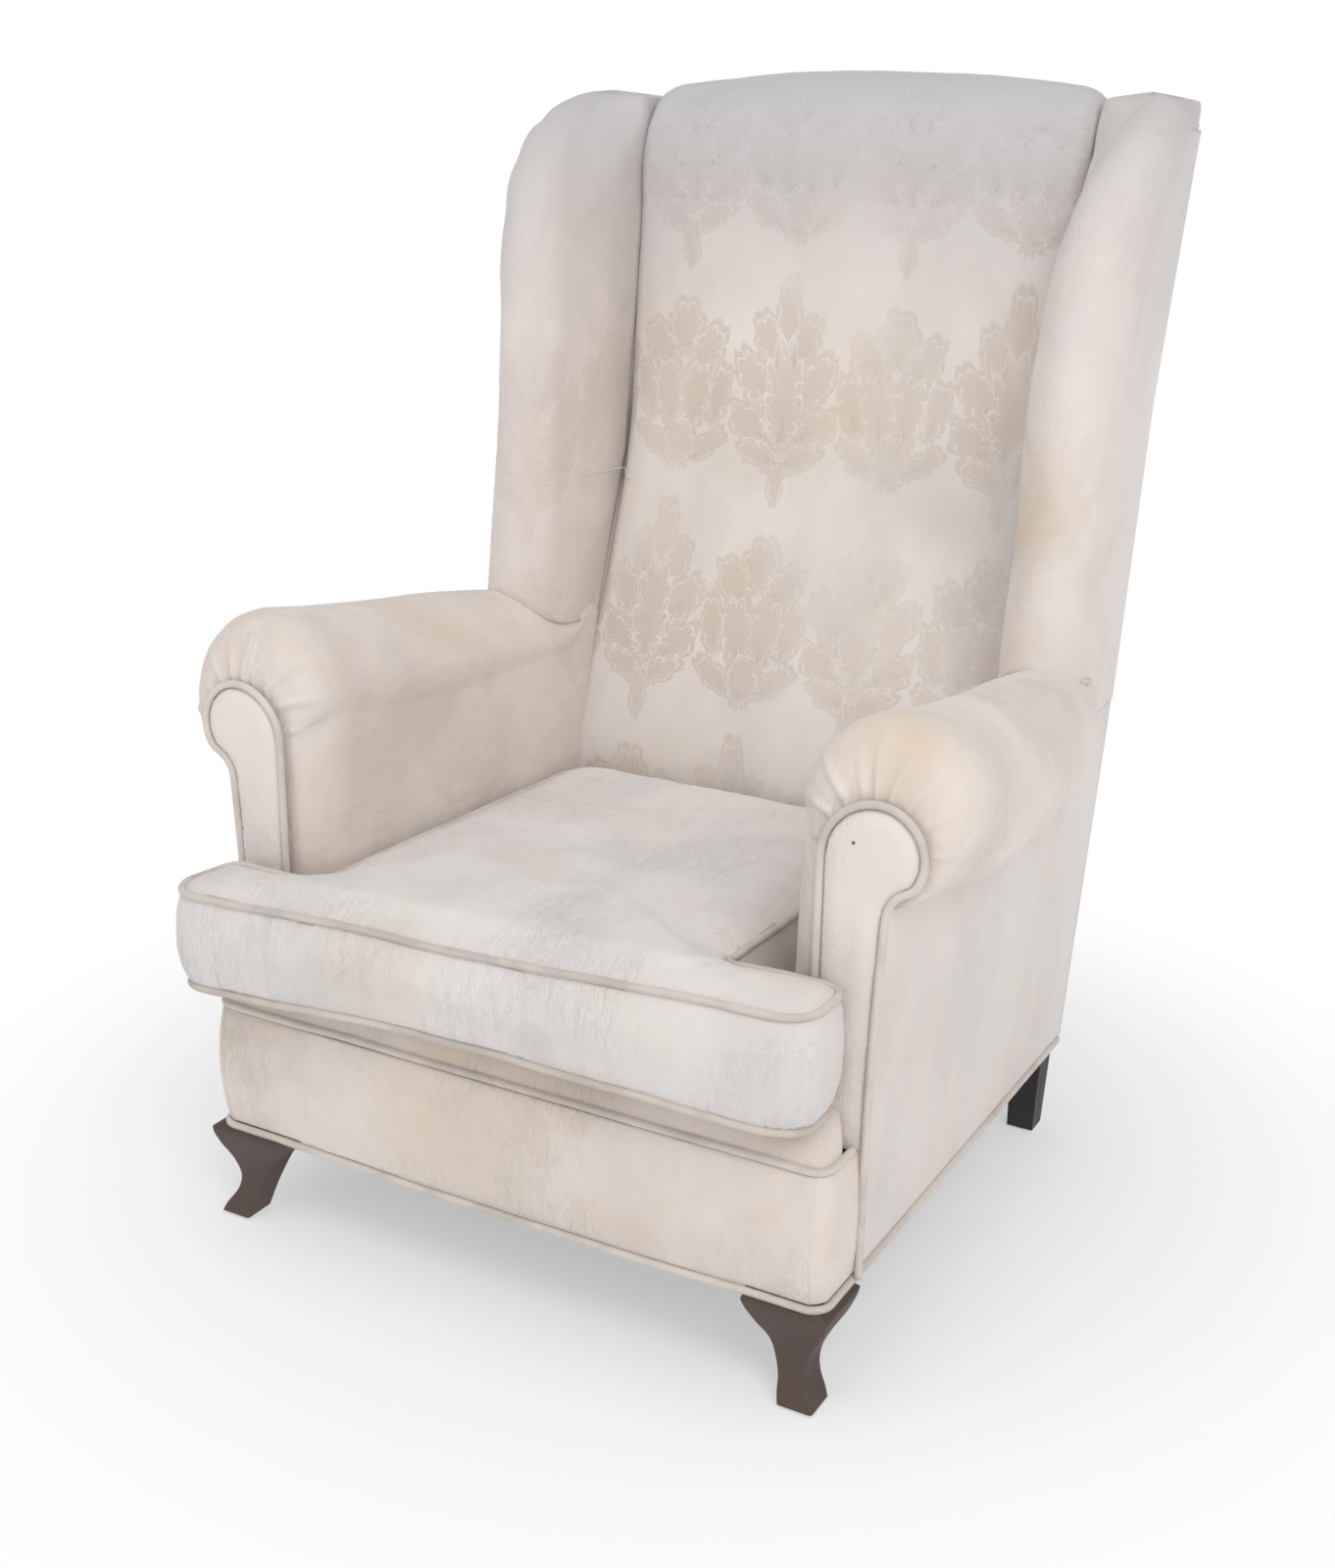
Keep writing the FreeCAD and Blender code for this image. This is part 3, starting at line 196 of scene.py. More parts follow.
class ChairColours(bpy.types.PropertyGroup):
    """Colours of the looks"""

    cover: FloatVectorProperty(
        name="Cover", description="Ground of the damask", subtype="COLOR", size=3,
        default=(0.80, 0.745, 0.70))
    motif: FloatVectorProperty(
        name="Motif", description="Woven leaves of the damask", subtype="COLOR", size=3,
        default=(0.66, 0.565, 0.49))
    stain: FloatVectorProperty(
        name="Stain", description="Old stains in the cover", subtype="COLOR", size=3,
        default=(0.66, 0.53, 0.40))
    # Grey for the random greying of the cover and for the painted shade towards its top
    grey_and_top_shade: FloatVectorProperty(
        name="Grey", description="Greyed parts of the cover", subtype="COLOR", size=3,
        default=(0.52, 0.50, 0.505))
    piping: FloatVectorProperty(
        name="Piping", description="Cover of the piping", subtype="COLOR", size=3,
        default=(0.70, 0.63, 0.57))
    leg: FloatVectorProperty(
        name="Leg", description="Stain on the front legs", subtype="COLOR", size=3,
        default=(0.088, 0.062, 0.056))
    leg_worn: FloatVectorProperty(
        name="Worn wood", description="Wood where the stain is rubbed off", subtype="COLOR", size=3,
        default=(0.34, 0.155, 0.085))
    beech: FloatVectorProperty(
        name="Beech", description="Boards of the frame", subtype="COLOR", size=3,
        default=(0.62, 0.42, 0.25))


def hermite(rows, keys):
    """Values of a table at the keys, smooth through its rows."""
    t = rows[:, 0]
    keys = np.clip(np.asarray(keys, float), t[0], t[-1])
    slopes = np.gradient(rows[:, 1:], t, axis=0)
    i = np.clip(np.searchsorted(t, keys, side="right") - 1, 0, len(t) - 2)
    h = (t[i + 1] - t[i])[:, None]
    s = (keys - t[i])[:, None] / h
    a = rows[i, 1:]
    b = rows[i + 1, 1:]
    return ((2 * s**3 - 3 * s**2 + 1) * a + (s**3 - 2 * s**2 + s) * h * slopes[i]
            + (3 * s**2 - 2 * s**3) * b + (s**3 - s**2) * h * slopes[i + 1])


def rear_y(z):
    """Outside back at a height."""
    return REAR_Y + (z - BASE_BOTTOM) * RAKE


def line(a, b, n):
    """Points from a up to, but not at, b."""
    s = np.linspace(0, 1, n, endpoint=False)[:, None]
    return np.array(a)[None] * (1 - s) + np.array(b)[None] * s


def arc(a, mid, b, n):
    """Points on the circle from a through mid up to, but not at, b."""
    a, mid, b = (np.array(p, float) for p in (a, mid, b))
    u, v = mid - a, b - a
    cross = np.cross(u, v)
    area = cross @ cross
    if area < 1e-14:
        return line(a, b, n)
    centre = a + (np.cross(cross, u) * (v @ v) + np.cross(v, cross) * (u @ u)) / (2 * area)
    e1 = a - centre
    radius = np.linalg.norm(e1)
    e1 /= radius
    axis = cross / math.sqrt(area)
    e2 = np.cross(axis, e1)
    d = b - centre
    sweep = math.atan2(d @ e2, d @ e1) % (2 * math.pi)
    t = np.linspace(0, sweep, n, endpoint=False)[:, None]
    return centre + radius * (np.cos(t) * e1 + np.sin(t) * e2)


def resample(points, count, closed=False):
    """Points spaced evenly along a polyline."""
    p = np.asarray(points, float)
    if closed:
        p = np.vstack([p, p[:1]])
    step = np.linalg.norm(np.diff(p, axis=0), axis=1)
    at = np.concatenate([[0], np.cumsum(step)])
    want = np.linspace(0, at[-1], count, endpoint=not closed)
    return np.stack([np.interp(want, at, p[:, k]) for k in range(3)], axis=1)


def soften(points, rounds, closed=False):
    """A polyline with its kinks smoothed."""
    p = np.array(points, float)
    for _ in range(rounds):
        if closed:
            p = (np.roll(p, 1, axis=0) + 2 * p + np.roll(p, -1, axis=0)) / 4
        else:
            p[1:-1] = (p[:-2] + 2 * p[1:-1] + p[2:]) / 4
    return p


def make_mesh(name, verts, faces, cloth=None):
    """A shaded mesh object with its cloth coordinates."""
    mesh = bpy.data.meshes.new(name)
    mesh.from_pydata([tuple(v) for v in verts], [], faces)
    mesh.update()
    mesh.shade_smooth()
    if cloth is not None:
        layer = mesh.attributes.new("cloth", "FLOAT_VECTOR", "POINT")
        flat = np.zeros((len(verts), 3), np.float32)
        flat[:, :2] = cloth
        layer.data.foreach_set("vector", flat.ravel())
    obj = bpy.data.objects.new(name, mesh)
    bpy.context.scene.collection.objects.link(obj)
    return obj


def ring_faces(rows, cols, closed):
    """Quads between rows of points."""
    faces = []
    wrap = cols if closed else cols - 1
    for r in range(rows - 1):
        for c in range(wrap):
            d = (c + 1) % cols
            faces.append((r * cols + c, r * cols + d, (r + 1) * cols + d, (r + 1) * cols + c))
    return faces


def grid_cloth(grid, origin=(0.0, 0.0), across=0):
    """Cloth coordinates of a grid: along its rows and up its rows."""
    along = np.linalg.norm(np.diff(grid, axis=1), axis=2)
    u = np.concatenate([np.zeros((len(grid), 1)), np.cumsum(along, axis=1)], axis=1)
    u = u - u[:, across:across + 1]
    up = np.linalg.norm(np.diff(grid[:, across], axis=0), axis=1)
    v = np.concatenate([[0], np.cumsum(up)])
    v = np.repeat(v[:, None], grid.shape[1], axis=1)
    return np.stack([u + origin[0], v + origin[1]], axis=2).reshape(-1, 2)


def loft(name, rings, cloth):
    """Closed body through rings of points, capped at both ends."""
    rows, cols = rings.shape[:2]
    verts = list(rings.reshape(-1, 3))
    flat = list(cloth)
    faces = ring_faces(rows, cols, True)
    for r, flip in ((0, True), (rows - 1, False)):
        centre = len(verts)
        verts.append(rings[r].mean(axis=0))
        flat.append(cloth[r * cols])
        for c in range(cols):
            a = r * cols + c
            b = r * cols + (c + 1) % cols
            faces.append((b, a, centre) if flip else (a, b, centre))
    return make_mesh(name, verts, faces, np.array(flat))


def slab(name, grid, inward, thickness, cloth):
    """Thin closed sheet: a grid for its face and an offset copy behind it."""
    rows, cols = grid.shape[:2]
    back = grid + np.array(inward) * thickness
    verts = np.vstack([grid.reshape(-1, 3), back.reshape(-1, 3)])
    n = rows * cols
    front = ring_faces(rows, cols, False)
    faces = list(front) + [tuple(reversed([i + n for i in f])) for f in front]
    edge = [c for c in range(cols)] + [r * cols + cols - 1 for r in range(1, rows)]
    edge += [(rows - 1) * cols + c for c in range(cols - 2, -1, -1)]
    edge += [r * cols for r in range(rows - 2, 0, -1)]
    for i, a in enumerate(edge):
        b = edge[(i + 1) % len(edge)]
        faces.append((b, a, a + n, b + n))
    return make_mesh(name, verts, faces, np.vstack([cloth, cloth]))


def tube(name, points, radius, closed=False, sides=12):
    """Round cord along points."""
    p = np.asarray(points, float)
    n = len(p)
    if closed:
        tangent = np.roll(p, -1, axis=0) - np.roll(p, 1, axis=0)
    else:
        tangent = np.gradient(p, axis=0)
    tangent /= np.linalg.norm(tangent, axis=1)[:, None]
    normal = np.cross(tangent[0], (0.0, 0.0, 1.0))
    if np.linalg.norm(normal) < 0.3:
        normal = np.cross(tangent[0], (1.0, 0.0, 0.0))
    rows = []
    angles = np.linspace(0, 2 * math.pi, sides, endpoint=False)
    for i in range(n):
        normal = normal - tangent[i] * (normal @ tangent[i])
        normal /= np.linalg.norm(normal)
        side = np.cross(tangent[i], normal)
        swell = radius * (1.0 + 0.05 * noise(Vector(p[i] * 60.0)))
        rows.append(p[i] + swell * (np.cos(angles)[:, None] * normal + np.sin(angles)[:, None] * side))
    rows = np.array(rows)
    if closed:
        faces = ring_faces(n, sides, True)
        for c in range(sides):
            d = (c + 1) % sides
            faces.append(((n - 1) * sides + c, (n - 1) * sides + d, d, c))
        return make_mesh(name, rows.reshape(-1, 3), faces, grid_cloth(rows))
    return loft(name, rows, grid_cloth(rows))


def coords(obj):
    """Vertex places of an object as an array."""
    flat = np.empty(len(obj.data.vertices) * 3, np.float32)
    obj.data.vertices.foreach_get("co", flat)
    return flat.reshape(-1, 3).astype(float)


def normals(obj):
    """Vertex normals of an object as an array."""
    flat = np.empty(len(obj.data.vertices) * 3, np.float32)
    obj.data.vertices.foreach_get("normal", flat)
    return flat.reshape(-1, 3).astype(float)


def move(obj, places):
    """Put the vertices of an object at new places."""
    obj.data.vertices.foreach_set("co", np.asarray(places, np.float32).ravel())
    obj.data.update()


def only(obj):
    """Make one object the selected, active one."""
    bpy.ops.object.select_all(action="DESELECT")
    obj.select_set(True)
    bpy.context.view_layer.objects.active = obj


def mirror_copy(obj, name):
    """The same piece on the left side."""
    mesh = obj.data.copy()
    copy = bpy.data.objects.new(name, mesh)
    bpy.context.scene.collection.objects.link(copy)
    flat = coords(copy)
    flat[:, 0] *= -1.0
    mesh.flip_normals()
    move(copy, flat)
    return copy


def refine(obj):
    """Round the mesh with one subdivision."""
    only(obj)
    mod = obj.modifiers.new("round", "SUBSURF")
    mod.levels = 1
    mod.render_levels = 1
    bpy.ops.object.modifier_apply(modifier=mod.name)


def piece(obj, body, material, nodes=()):
    """Say what a finished piece rides on, stands for and is made of."""
    obj.data.materials.clear()
    obj.data.materials.append(material)
    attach(obj, body)
    if nodes:
        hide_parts(*nodes)
    return obj


class Graph:
    """Adds nodes to a material or a node group in short form."""

    def __init__(self, tree):
        self.tree = tree

    def node(self, kind, **settings):
        node = self.tree.nodes.new(kind)
        for key, value in settings.items():
            setattr(node, key, value)
        return node

    def plug(self, socket, value):
        if hasattr(value, "is_output"):
            self.tree.links.new(value, socket)
        else:
            socket.default_value = value

    def math(self, operation, *values, clamp=False):
        node = self.node("ShaderNodeMath", operation=operation, use_clamp=clamp)
        for socket, value in zip(node.inputs, values):
            self.plug(socket, value)
        return node.outputs[0]

    def step(self, value, low, high, out_low=0.0, out_high=1.0):
        """Smooth step of a value from low to high."""
        node = self.node("ShaderNodeMapRange", interpolation_type="SMOOTHSTEP")
        for name, part in (("Value", value), ("From Min", low), ("From Max", high), ("To Min", out_low),
                           ("To Max", out_high)):
            self.plug(node.inputs[name], part)
        return node.outputs["Result"]

    def mix(self, factor, a, b):
        node = self.node("ShaderNodeMix", data_type="RGBA")
        self.plug(node.inputs["Factor"], factor)
        self.plug(node.inputs["A"], a)
        self.plug(node.inputs["B"], b)
        return node.outputs["Result"]

    def noise(self, vector, scale, detail=3.0, roughness=0.55, distortion=0.0):
        node = self.node("ShaderNodeTexNoise")
        self.plug(node.inputs["Vector"], vector)
        node.inputs["Scale"].default_value = scale
        node.inputs["Detail"].default_value = detail
        node.inputs["Roughness"].default_value = roughness
        node.inputs["Distortion"].default_value = distortion
        return node.outputs["Fac"]

    def stretch(self, vector, scale, offset=(0.0, 0.0, 0.0)):
        node = self.node("ShaderNodeMapping")
        self.plug(node.inputs["Vector"], vector)
        node.inputs["Scale"].default_value = scale
        node.inputs["Location"].default_value = offset
        return node.outputs["Vector"]

    def relief(self, shader, height, strength, distance):
        """Bump of a surface from a height."""
        node = self.node("ShaderNodeBump")
        node.inputs["Strength"].default_value = strength
        node.inputs["Distance"].default_value = distance
        self.plug(node.inputs["Height"], height)
        self.plug(shader.inputs["Normal"], node.outputs["Normal"])


def rgba(colour):
    """A colour with its alpha."""
    return (*colour, 1.0)


def blank(name):
    """A new material, its graph and its surface."""
    mat = bpy.data.materials.new(name)
    mat.use_nodes = True
    return mat, Graph(mat.node_tree), mat.node_tree.nodes["Principled BSDF"]


# Leaves of one motif: middle across and up, half sizes, tilt, scallops
PALMETTE = (
    (0.000, 0.088, 0.018, 0.048, 0.00, 4.0),
    (0.021, 0.058, 0.019, 0.038, -0.45, 5.0),
    (0.038, 0.016, 0.022, 0.042, -0.62, 6.0),
    (0.042, -0.034, 0.022, 0.038, -0.95, 6.0),
    (0.000, 0.006, 0.032, 0.078, 0.00, 7.0),
    (0.026, -0.066, 0.018, 0.034, -1.10, 5.0),
    (0.000, -0.092, 0.012, 0.036, 0.00, 3.0),
)
BOUQUET = (
    (0.000, 0.070, 0.026, 0.034, 0.00, 5.0),
    (0.032, 0.046, 0.022, 0.036, -0.60, 5.0),
    (0.050, -0.004, 0.018, 0.038, -0.25, 5.0),
    (0.018, -0.006, 0.024, 0.048, -0.20, 6.0),
    (0.000, -0.062, 0.024, 0.036, 0.00, 5.0),
    (0.040, -0.062, 0.014, 0.032, -0.90, 4.0),
)


def motif_shapes(g, x, y, leaves):
    """Mask and raised lines of a motif that is the same left and right."""
    mask = 0.0
    lines = 0.0
    x = g.math("ABSOLUTE", x)
    for cx, cy, rx, ry, tilt, scallops in leaves:
        dx = g.math("SUBTRACT", x, cx)
        dy = g.math("SUBTRACT", y, cy)
        c, s = math.cos(tilt), math.sin(tilt)
        px = g.math("ADD", g.math("MULTIPLY", dx, c), g.math("MULTIPLY", dy, s))
        py = g.math("SUBTRACT", g.math("MULTIPLY", dy, c), g.math("MULTIPLY", dx, s))
        px = g.math("DIVIDE", px, rx)
        py = g.math("DIVIDE", py, ry)
        far = g.math("SQRT", g.math("ADD", g.math("MULTIPLY", px, px), g.math("MULTIPLY", py, py)))
        angle = g.math("ARCTAN2", px, g.math("ADD", py, 0.55))
        lobes = g.math("ABSOLUTE", g.math("SINE", g.math("MULTIPLY", angle, scallops)))
        edge = g.math("SUBTRACT", far, g.math("MULTIPLY", lobes, 0.20))
        leaf = g.step(edge, 0.80, 0.92, 1.0, 0.0)
        vein = g.step(g.math("ABSOLUTE", g.math("SINE", g.math("MULTIPLY", angle, scallops * 2.0))),
                      0.0, 0.30, 1.0, 0.0)
        rim = g.step(g.math("ABSOLUTE", g.math("SUBTRACT", edge, 0.60)), 0.0, 0.07, 1.0, 0.0)
        vein = g.math("MULTIPLY", g.math("MAXIMUM", vein, rim), leaf)
        mask = g.math("MAXIMUM", leaf, mask)
        lines = g.math("MAXIMUM", vein, lines)
    return mask, lines


def pattern_group():
    """Woven pattern: leafy motifs in columns that drop by half a repeat."""
    tree = bpy.data.node_groups.get("damask pattern")
    if tree is not None:
        return tree
    tree = bpy.data.node_groups.new("damask pattern", "ShaderNodeTree")
    tree.interface.new_socket("Vector", in_out="INPUT", socket_type="NodeSocketVector")
    tree.interface.new_socket("Mask", in_out="OUTPUT", socket_type="NodeSocketFloat")
    tree.interface.new_socket("Lines", in_out="OUTPUT", socket_type="NodeSocketFloat")
    g = Graph(tree)
    start = g.node("NodeGroupInput")
    end = g.node("NodeGroupOutput")
    wander = g.node("ShaderNodeTexNoise")
    g.plug(wander.inputs["Vector"], start.outputs["Vector"])
    wander.inputs["Scale"].default_value = 45.0
    wander.inputs["Detail"].default_value = 2.0
    shift = g.node("ShaderNodeVectorMath", operation="MULTIPLY_ADD")
    g.plug(shift.inputs[0], wander.outputs["Color"])
    shift.inputs[1].default_value = (0.012, 0.012, 0.0)
    g.plug(shift.inputs[2], start.outputs["Vector"])
    split = g.node("ShaderNodeSeparateXYZ")
    g.plug(split.inputs[0], shift.outputs[0])
    column_width = 0.134
    repeat = 0.52
    u = g.math("DIVIDE", split.outputs["X"], column_width)
    column = g.math("FLOOR", u)
    x = g.math("MULTIPLY", g.math("SUBTRACT", g.math("FRACT", u), 0.5), column_width)
    odd = g.math("MODULO", g.math("ABSOLUTE", column), 2.0)
    v = g.math("ADD", g.math("DIVIDE", split.outputs["Y"], repeat), g.math("MULTIPLY", odd, 0.5))
    y = g.math("MULTIPLY", g.math("SUBTRACT", g.math("FRACT", v), 0.5), repeat)
    other = g.math("MULTIPLY", g.math("SUBTRACT", g.math("FRACT", g.math("ADD", v, 0.5)), 0.5), repeat)
    mask_a, lines_a = motif_shapes(g, x, y, PALMETTE)
    mask_b, lines_b = motif_shapes(g, x, other, BOUQUET)
    g.plug(end.inputs["Mask"], g.math("MAXIMUM", mask_a, mask_b))
    g.plug(end.inputs["Lines"], g.math("MAXIMUM", lines_a, lines_b))
    return tree


def damask(name, colours, tint=(1.0, 1.0, 1.0), woven=0.5, stains=0.35, crinkle=0.3, top_shade=0.0,
           spots=(), offset=(0.0, 0.0, 0.0)):
    """Aged self-patterned damask, greyed towards the top by painted shade."""
    mat, g, shader = blank(name)
    # Heights over which the painted shade at the top comes in
    top_shade_from, top_shade_full = 0.80, 1.13
    at = g.node("ShaderNodeAttribute", attribute_name="cloth")
    cloth = g.stretch(at.outputs["Vector"], (1.0, 1.0, 1.0), offset)
    place = g.node("ShaderNodeTexCoord").outputs["Object"]
    group = g.node("ShaderNodeGroup", node_tree=pattern_group())
    g.plug(group.inputs["Vector"], cloth)
    fade = g.step(g.noise(place, 4.2, 2.0), 0.34, 0.62, 0.25, 1.0)
    grain = g.noise(g.stretch(cloth, (900.0, 260.0, 1.0)), 1.0, 2.0, 0.6)
    mask = g.math("MULTIPLY", group.outputs["Mask"], g.math("MULTIPLY", fade, woven))
    lines = g.math("MULTIPLY", group.outputs["Lines"], g.math("MULTIPLY", fade, woven * 0.75))
    ground = rgba([c * t for c, t in zip(colours.cover, tint)])
    raised = rgba([min(1.0, c * t * 1.14) for c, t in zip(colours.cover, tint)])
    leaf = rgba([c * t for c, t in zip(colours.motif, tint)])
    tan = rgba([c * t for c, t in zip(colours.stain, tint)])
    grey_and_top_shade = rgba(colours.grey_and_top_shade)
    colour = g.mix(mask, ground, leaf)
    colour = g.mix(lines, colour, raised)
    soil = g.step(g.noise(place, 5.5, 4.0, 0.6, 0.6), 0.46, 0.74, 0.0, stains)
    colour = g.mix(soil, colour, tan)
    cloud = g.noise(g.stretch(place, (1.0, 1.0, 0.55), (3.0, 1.0, 0.0)), 9.0, 3.0)
    colour = g.mix(g.step(cloud, 0.40, 0.72, 0.0, 0.30), colour, grey_and_top_shade)
    # Painted shade: the cover greys towards the top, where the light falls off
    if top_shade > 0.0:
        axes = g.node("ShaderNodeSeparateXYZ")
        g.plug(axes.inputs[0], place)
        colour = g.mix(g.step(axes.outputs["Z"], top_shade_from, top_shade_full, 0.0, top_shade), colour, grey_and_top_shade)
    for where, radius, spot, strength in spots:
        gap = g.node("ShaderNodeVectorMath", operation="DISTANCE")
        g.plug(gap.inputs[0], place)
        gap.inputs[1].default_value = where
        edge = g.math("MULTIPLY", g.noise(place, 22.0), radius * 0.7)
        ragged = g.math("ADD", gap.outputs["Value"], edge)
        colour = g.mix(g.step(ragged, radius * 0.45, radius * 1.5, strength, 0.0), colour, rgba(spot))
    weave = g.math("MULTIPLY", g.math("SUBTRACT", grain, 0.35, clamp=True), 0.30)
    colour = g.mix(weave, colour, rgba([c * 0.80 for c in ground[:3]]))
    g.plug(shader.inputs["Base Color"], colour)
    shader.inputs["Roughness"].default_value = 0.66
    shader.inputs["Specular IOR Level"].default_value = 0.28
    shader.inputs["Sheen Weight"].default_value = 0.18
    shader.inputs["Sheen Roughness"].default_value = 0.5
    height = g.math("ADD", g.math("MULTIPLY", mask, -0.10), g.math("MULTIPLY", lines, 0.55))
    height = g.math("ADD", height, g.math("MULTIPLY", grain, 0.10))
    ridges = g.noise(g.stretch(cloth, (120.0, 42.0, 1.0)), 1.0, 3.0, 0.6, 1.2)
    ridges = g.step(g.math("ABSOLUTE", g.math("SUBTRACT", ridges, 0.5)), 0.0, 0.10, 1.0, 0.0)
    patch = g.step(g.noise(place, 8.0, 2.0), 0.42, 0.62, 0.15, 1.0)
    height = g.math("ADD", height, g.math("MULTIPLY", g.math("MULTIPLY", ridges, patch), crinkle))
    g.relief(shader, height, 0.6, 0.0011)
    return mat


def cord_material(name, colour):
    """Piping covered in the same cloth, rubbed on top."""
    mat, g, shader = blank(name)
    place = g.node("ShaderNodeTexCoord").outputs["Object"]
    worn = g.step(g.noise(place, 16.0, 4.0), 0.40, 0.66)
    g.plug(shader.inputs["Base Color"], g.mix(worn, rgba(colour), rgba([c * 0.82 for c in colour])))
    shader.inputs["Roughness"].default_value = 0.7
    shader.inputs["Specular IOR Level"].default_value = 0.25
    g.relief(shader, g.noise(place, 420.0, 3.0), 0.5, 0.0006)
    return mat


def wood_material(name, colour, worn, wear, roughness):
    """Stained wood, rubbed through to paler wood on its edges."""
    mat, g, shader = blank(name)
    place = g.node("ShaderNodeTexCoord").outputs["Object"]
    grain = g.noise(g.stretch(place, (60.0, 60.0, 7.0)), 1.0, 5.0, 0.6, 0.8)
    edge = g.node("ShaderNodeAttribute", attribute_name="edge").outputs["Fac"]
    chipped = g.math("MULTIPLY", g.noise(place, 55.0, 4.0), 0.9)
    ragged = g.math("ADD", g.math("MULTIPLY", edge, 1.15), chipped)
    rubbed = g.step(ragged, 0.85, 1.30, 0.0, wear)
    patches = g.step(g.noise(place, 26.0, 3.0), 0.50, 0.70, 0.0, wear * 0.50)
    stained = g.mix(g.step(grain, 0.35, 0.70), rgba(colour), rgba([c * 1.9 for c in colour]))
    g.plug(shader.inputs["Base Color"], g.mix(g.math("MAXIMUM", rubbed, patches), stained, rgba(worn)))
    g.plug(shader.inputs["Roughness"], g.step(grain, 0.3, 0.7, roughness, roughness + 0.18))
    g.relief(shader, grain, 0.35, 0.0010)
    return mat


def plain_material(name, colour, roughness):
    """Even finish with a slight speckle."""
    mat, g, shader = blank(name)
    speckle = g.noise(g.node("ShaderNodeTexCoord").outputs["Object"], 180.0, 3.0)
    g.plug(shader.inputs["Base Color"], g.mix(speckle, rgba([v * 0.85 for v in colour]), rgba(colour)))
    shader.inputs["Roughness"].default_value = roughness
    return mat


def damask_finishes():
    """How the damask looks on each piece; a spot has its place, radius, colour and strength."""
    tan = (0.60, 0.45, 0.28)
    # top_shade sets how strongly painted shade greys each cover towards its top
    return {
        "damask_back": dict(
            woven=0.95, stains=0.40, crinkle=0.12, top_shade=1.0, offset=(0.110, 0.20, 0.0),
            spots=(((0.02, 0.23, 0.79), 0.13, (0.70, 0.59, 0.46), 0.45),)),
        "damask_wing_right": dict(
            tint=(0.97, 0.95, 0.95), woven=0.35, stains=0.40, crinkle=0.30, top_shade=0.75,
            spots=(((0.283, 0.10, 0.72), 0.10, tan, 0.55), ((0.288, 0.09, 0.60), 0.06, tan, 0.35))),
        "damask_wing_left": dict(
            tint=(0.96, 0.93, 0.92), woven=0.40, stains=0.45, crinkle=0.30, top_shade=0.95),
        "damask_arm": dict(
            tint=(0.98, 0.95, 0.93), woven=0.35, stains=0.45, crinkle=0.35,
            spots=(((0.34, -0.28, 0.59), 0.07, tan, 0.40),
                   ((-0.34, 0.06, 0.60), 0.10, (0.56, 0.46, 0.38), 0.35))),
        "damask_facing": dict(woven=0.10, stains=0.25, crinkle=0.55),
        "damask_border": dict(
            tint=(1.0, 0.955, 0.925), woven=0.10, stains=0.50, crinkle=0.85, offset=(0.02, 0.0, 0.0),
            spots=(((-0.05, -0.38, 0.17), 0.12, (0.68, 0.54, 0.38), 0.45),)),
        "damask_outside": dict(
            tint=(0.97, 0.965, 0.975), woven=0.12, stains=0.20, crinkle=0.20, top_shade=0.6),
        "damask_cushion": dict(
            tint=(0.96, 0.985, 1.02), woven=0.14, stains=0.28, crinkle=0.80,
            spots=(((-0.10, -0.42, 0.34), 0.09, (0.68, 0.58, 0.44), 0.45),)),
    }


# Small and hidden pieces: colour, roughness
PLAIN = {
    "steel": ((0.45, 0.45, 0.46), 0.35),
    "tack": ((0.10, 0.06, 0.045), 0.5),
    "thread": ((0.85, 0.83, 0.80), 0.8),
    "glide_nylon": ((0.55, 0.52, 0.47), 0.5),
    "hessian": ((0.36, 0.26, 0.15), 0.9),
    "dust_cloth": ((0.012, 0.012, 0.013), 0.95),
    "stuffing": ((0.75, 0.72, 0.66), 0.9),
}


def finish(name, context):
    """The named finish; a material that already has the name is taken as it is."""
    mat = bpy.data.materials.get(name)
    if mat is not None:
        return mat
    c = context.scene.chair_colours
    if name.startswith("damask_"):
        return damask(name, c, **damask_finishes()[name])
    if name == "piping":
        return cord_material(name, c.piping)
    if name == "piping_cushion":
        return cord_material(name, [v * 0.92 for v in c.piping])
    if name == "leg_wood":
        return wood_material(name, c.leg, c.leg_worn, 0.85, 0.30)
    if name == "rear_leg_wood":
        return wood_material(name, (0.012, 0.010, 0.010), c.leg_worn, 0.0, 0.45)
    if name == "frame_beech":
        return wood_material(name, c.beech, c.beech, 0.0, 0.5)
    return plain_material(name, *PLAIN[name])


def wing_face(z):
    """Middle of the wing's front roll, across and along, and its radius at heights z."""
    values = hermite(WING, (np.atleast_1d(z) - WING_FOOT_Z) / WING_RISE)
    return BASE_HALF + values[:, 0], rear_y(z) - values[:, 1], values[:, 2]


def back_face(z, fullness):
    """Front of the inside back at a height, from the seam to the middle."""
    share = (np.atleast_1d(z) - DECK_LOW) / (BACK_TOP - DECK_LOW)
    values = hermite(BACK, share)
    return rear_y(z) - values[:, 0] - fullness * (values[:, 1] - values[:, 0])


def corner_x(z):
    """Half width at the outside back corner."""
    flare_from, flare = 0.52, 0.011
    share = np.clip((z - WING_FOOT_Z) / WING_RISE - flare_from, 0, None) / (1.0 - flare_from)
    return BASE_HALF + PANEL_SPREAD + share * flare


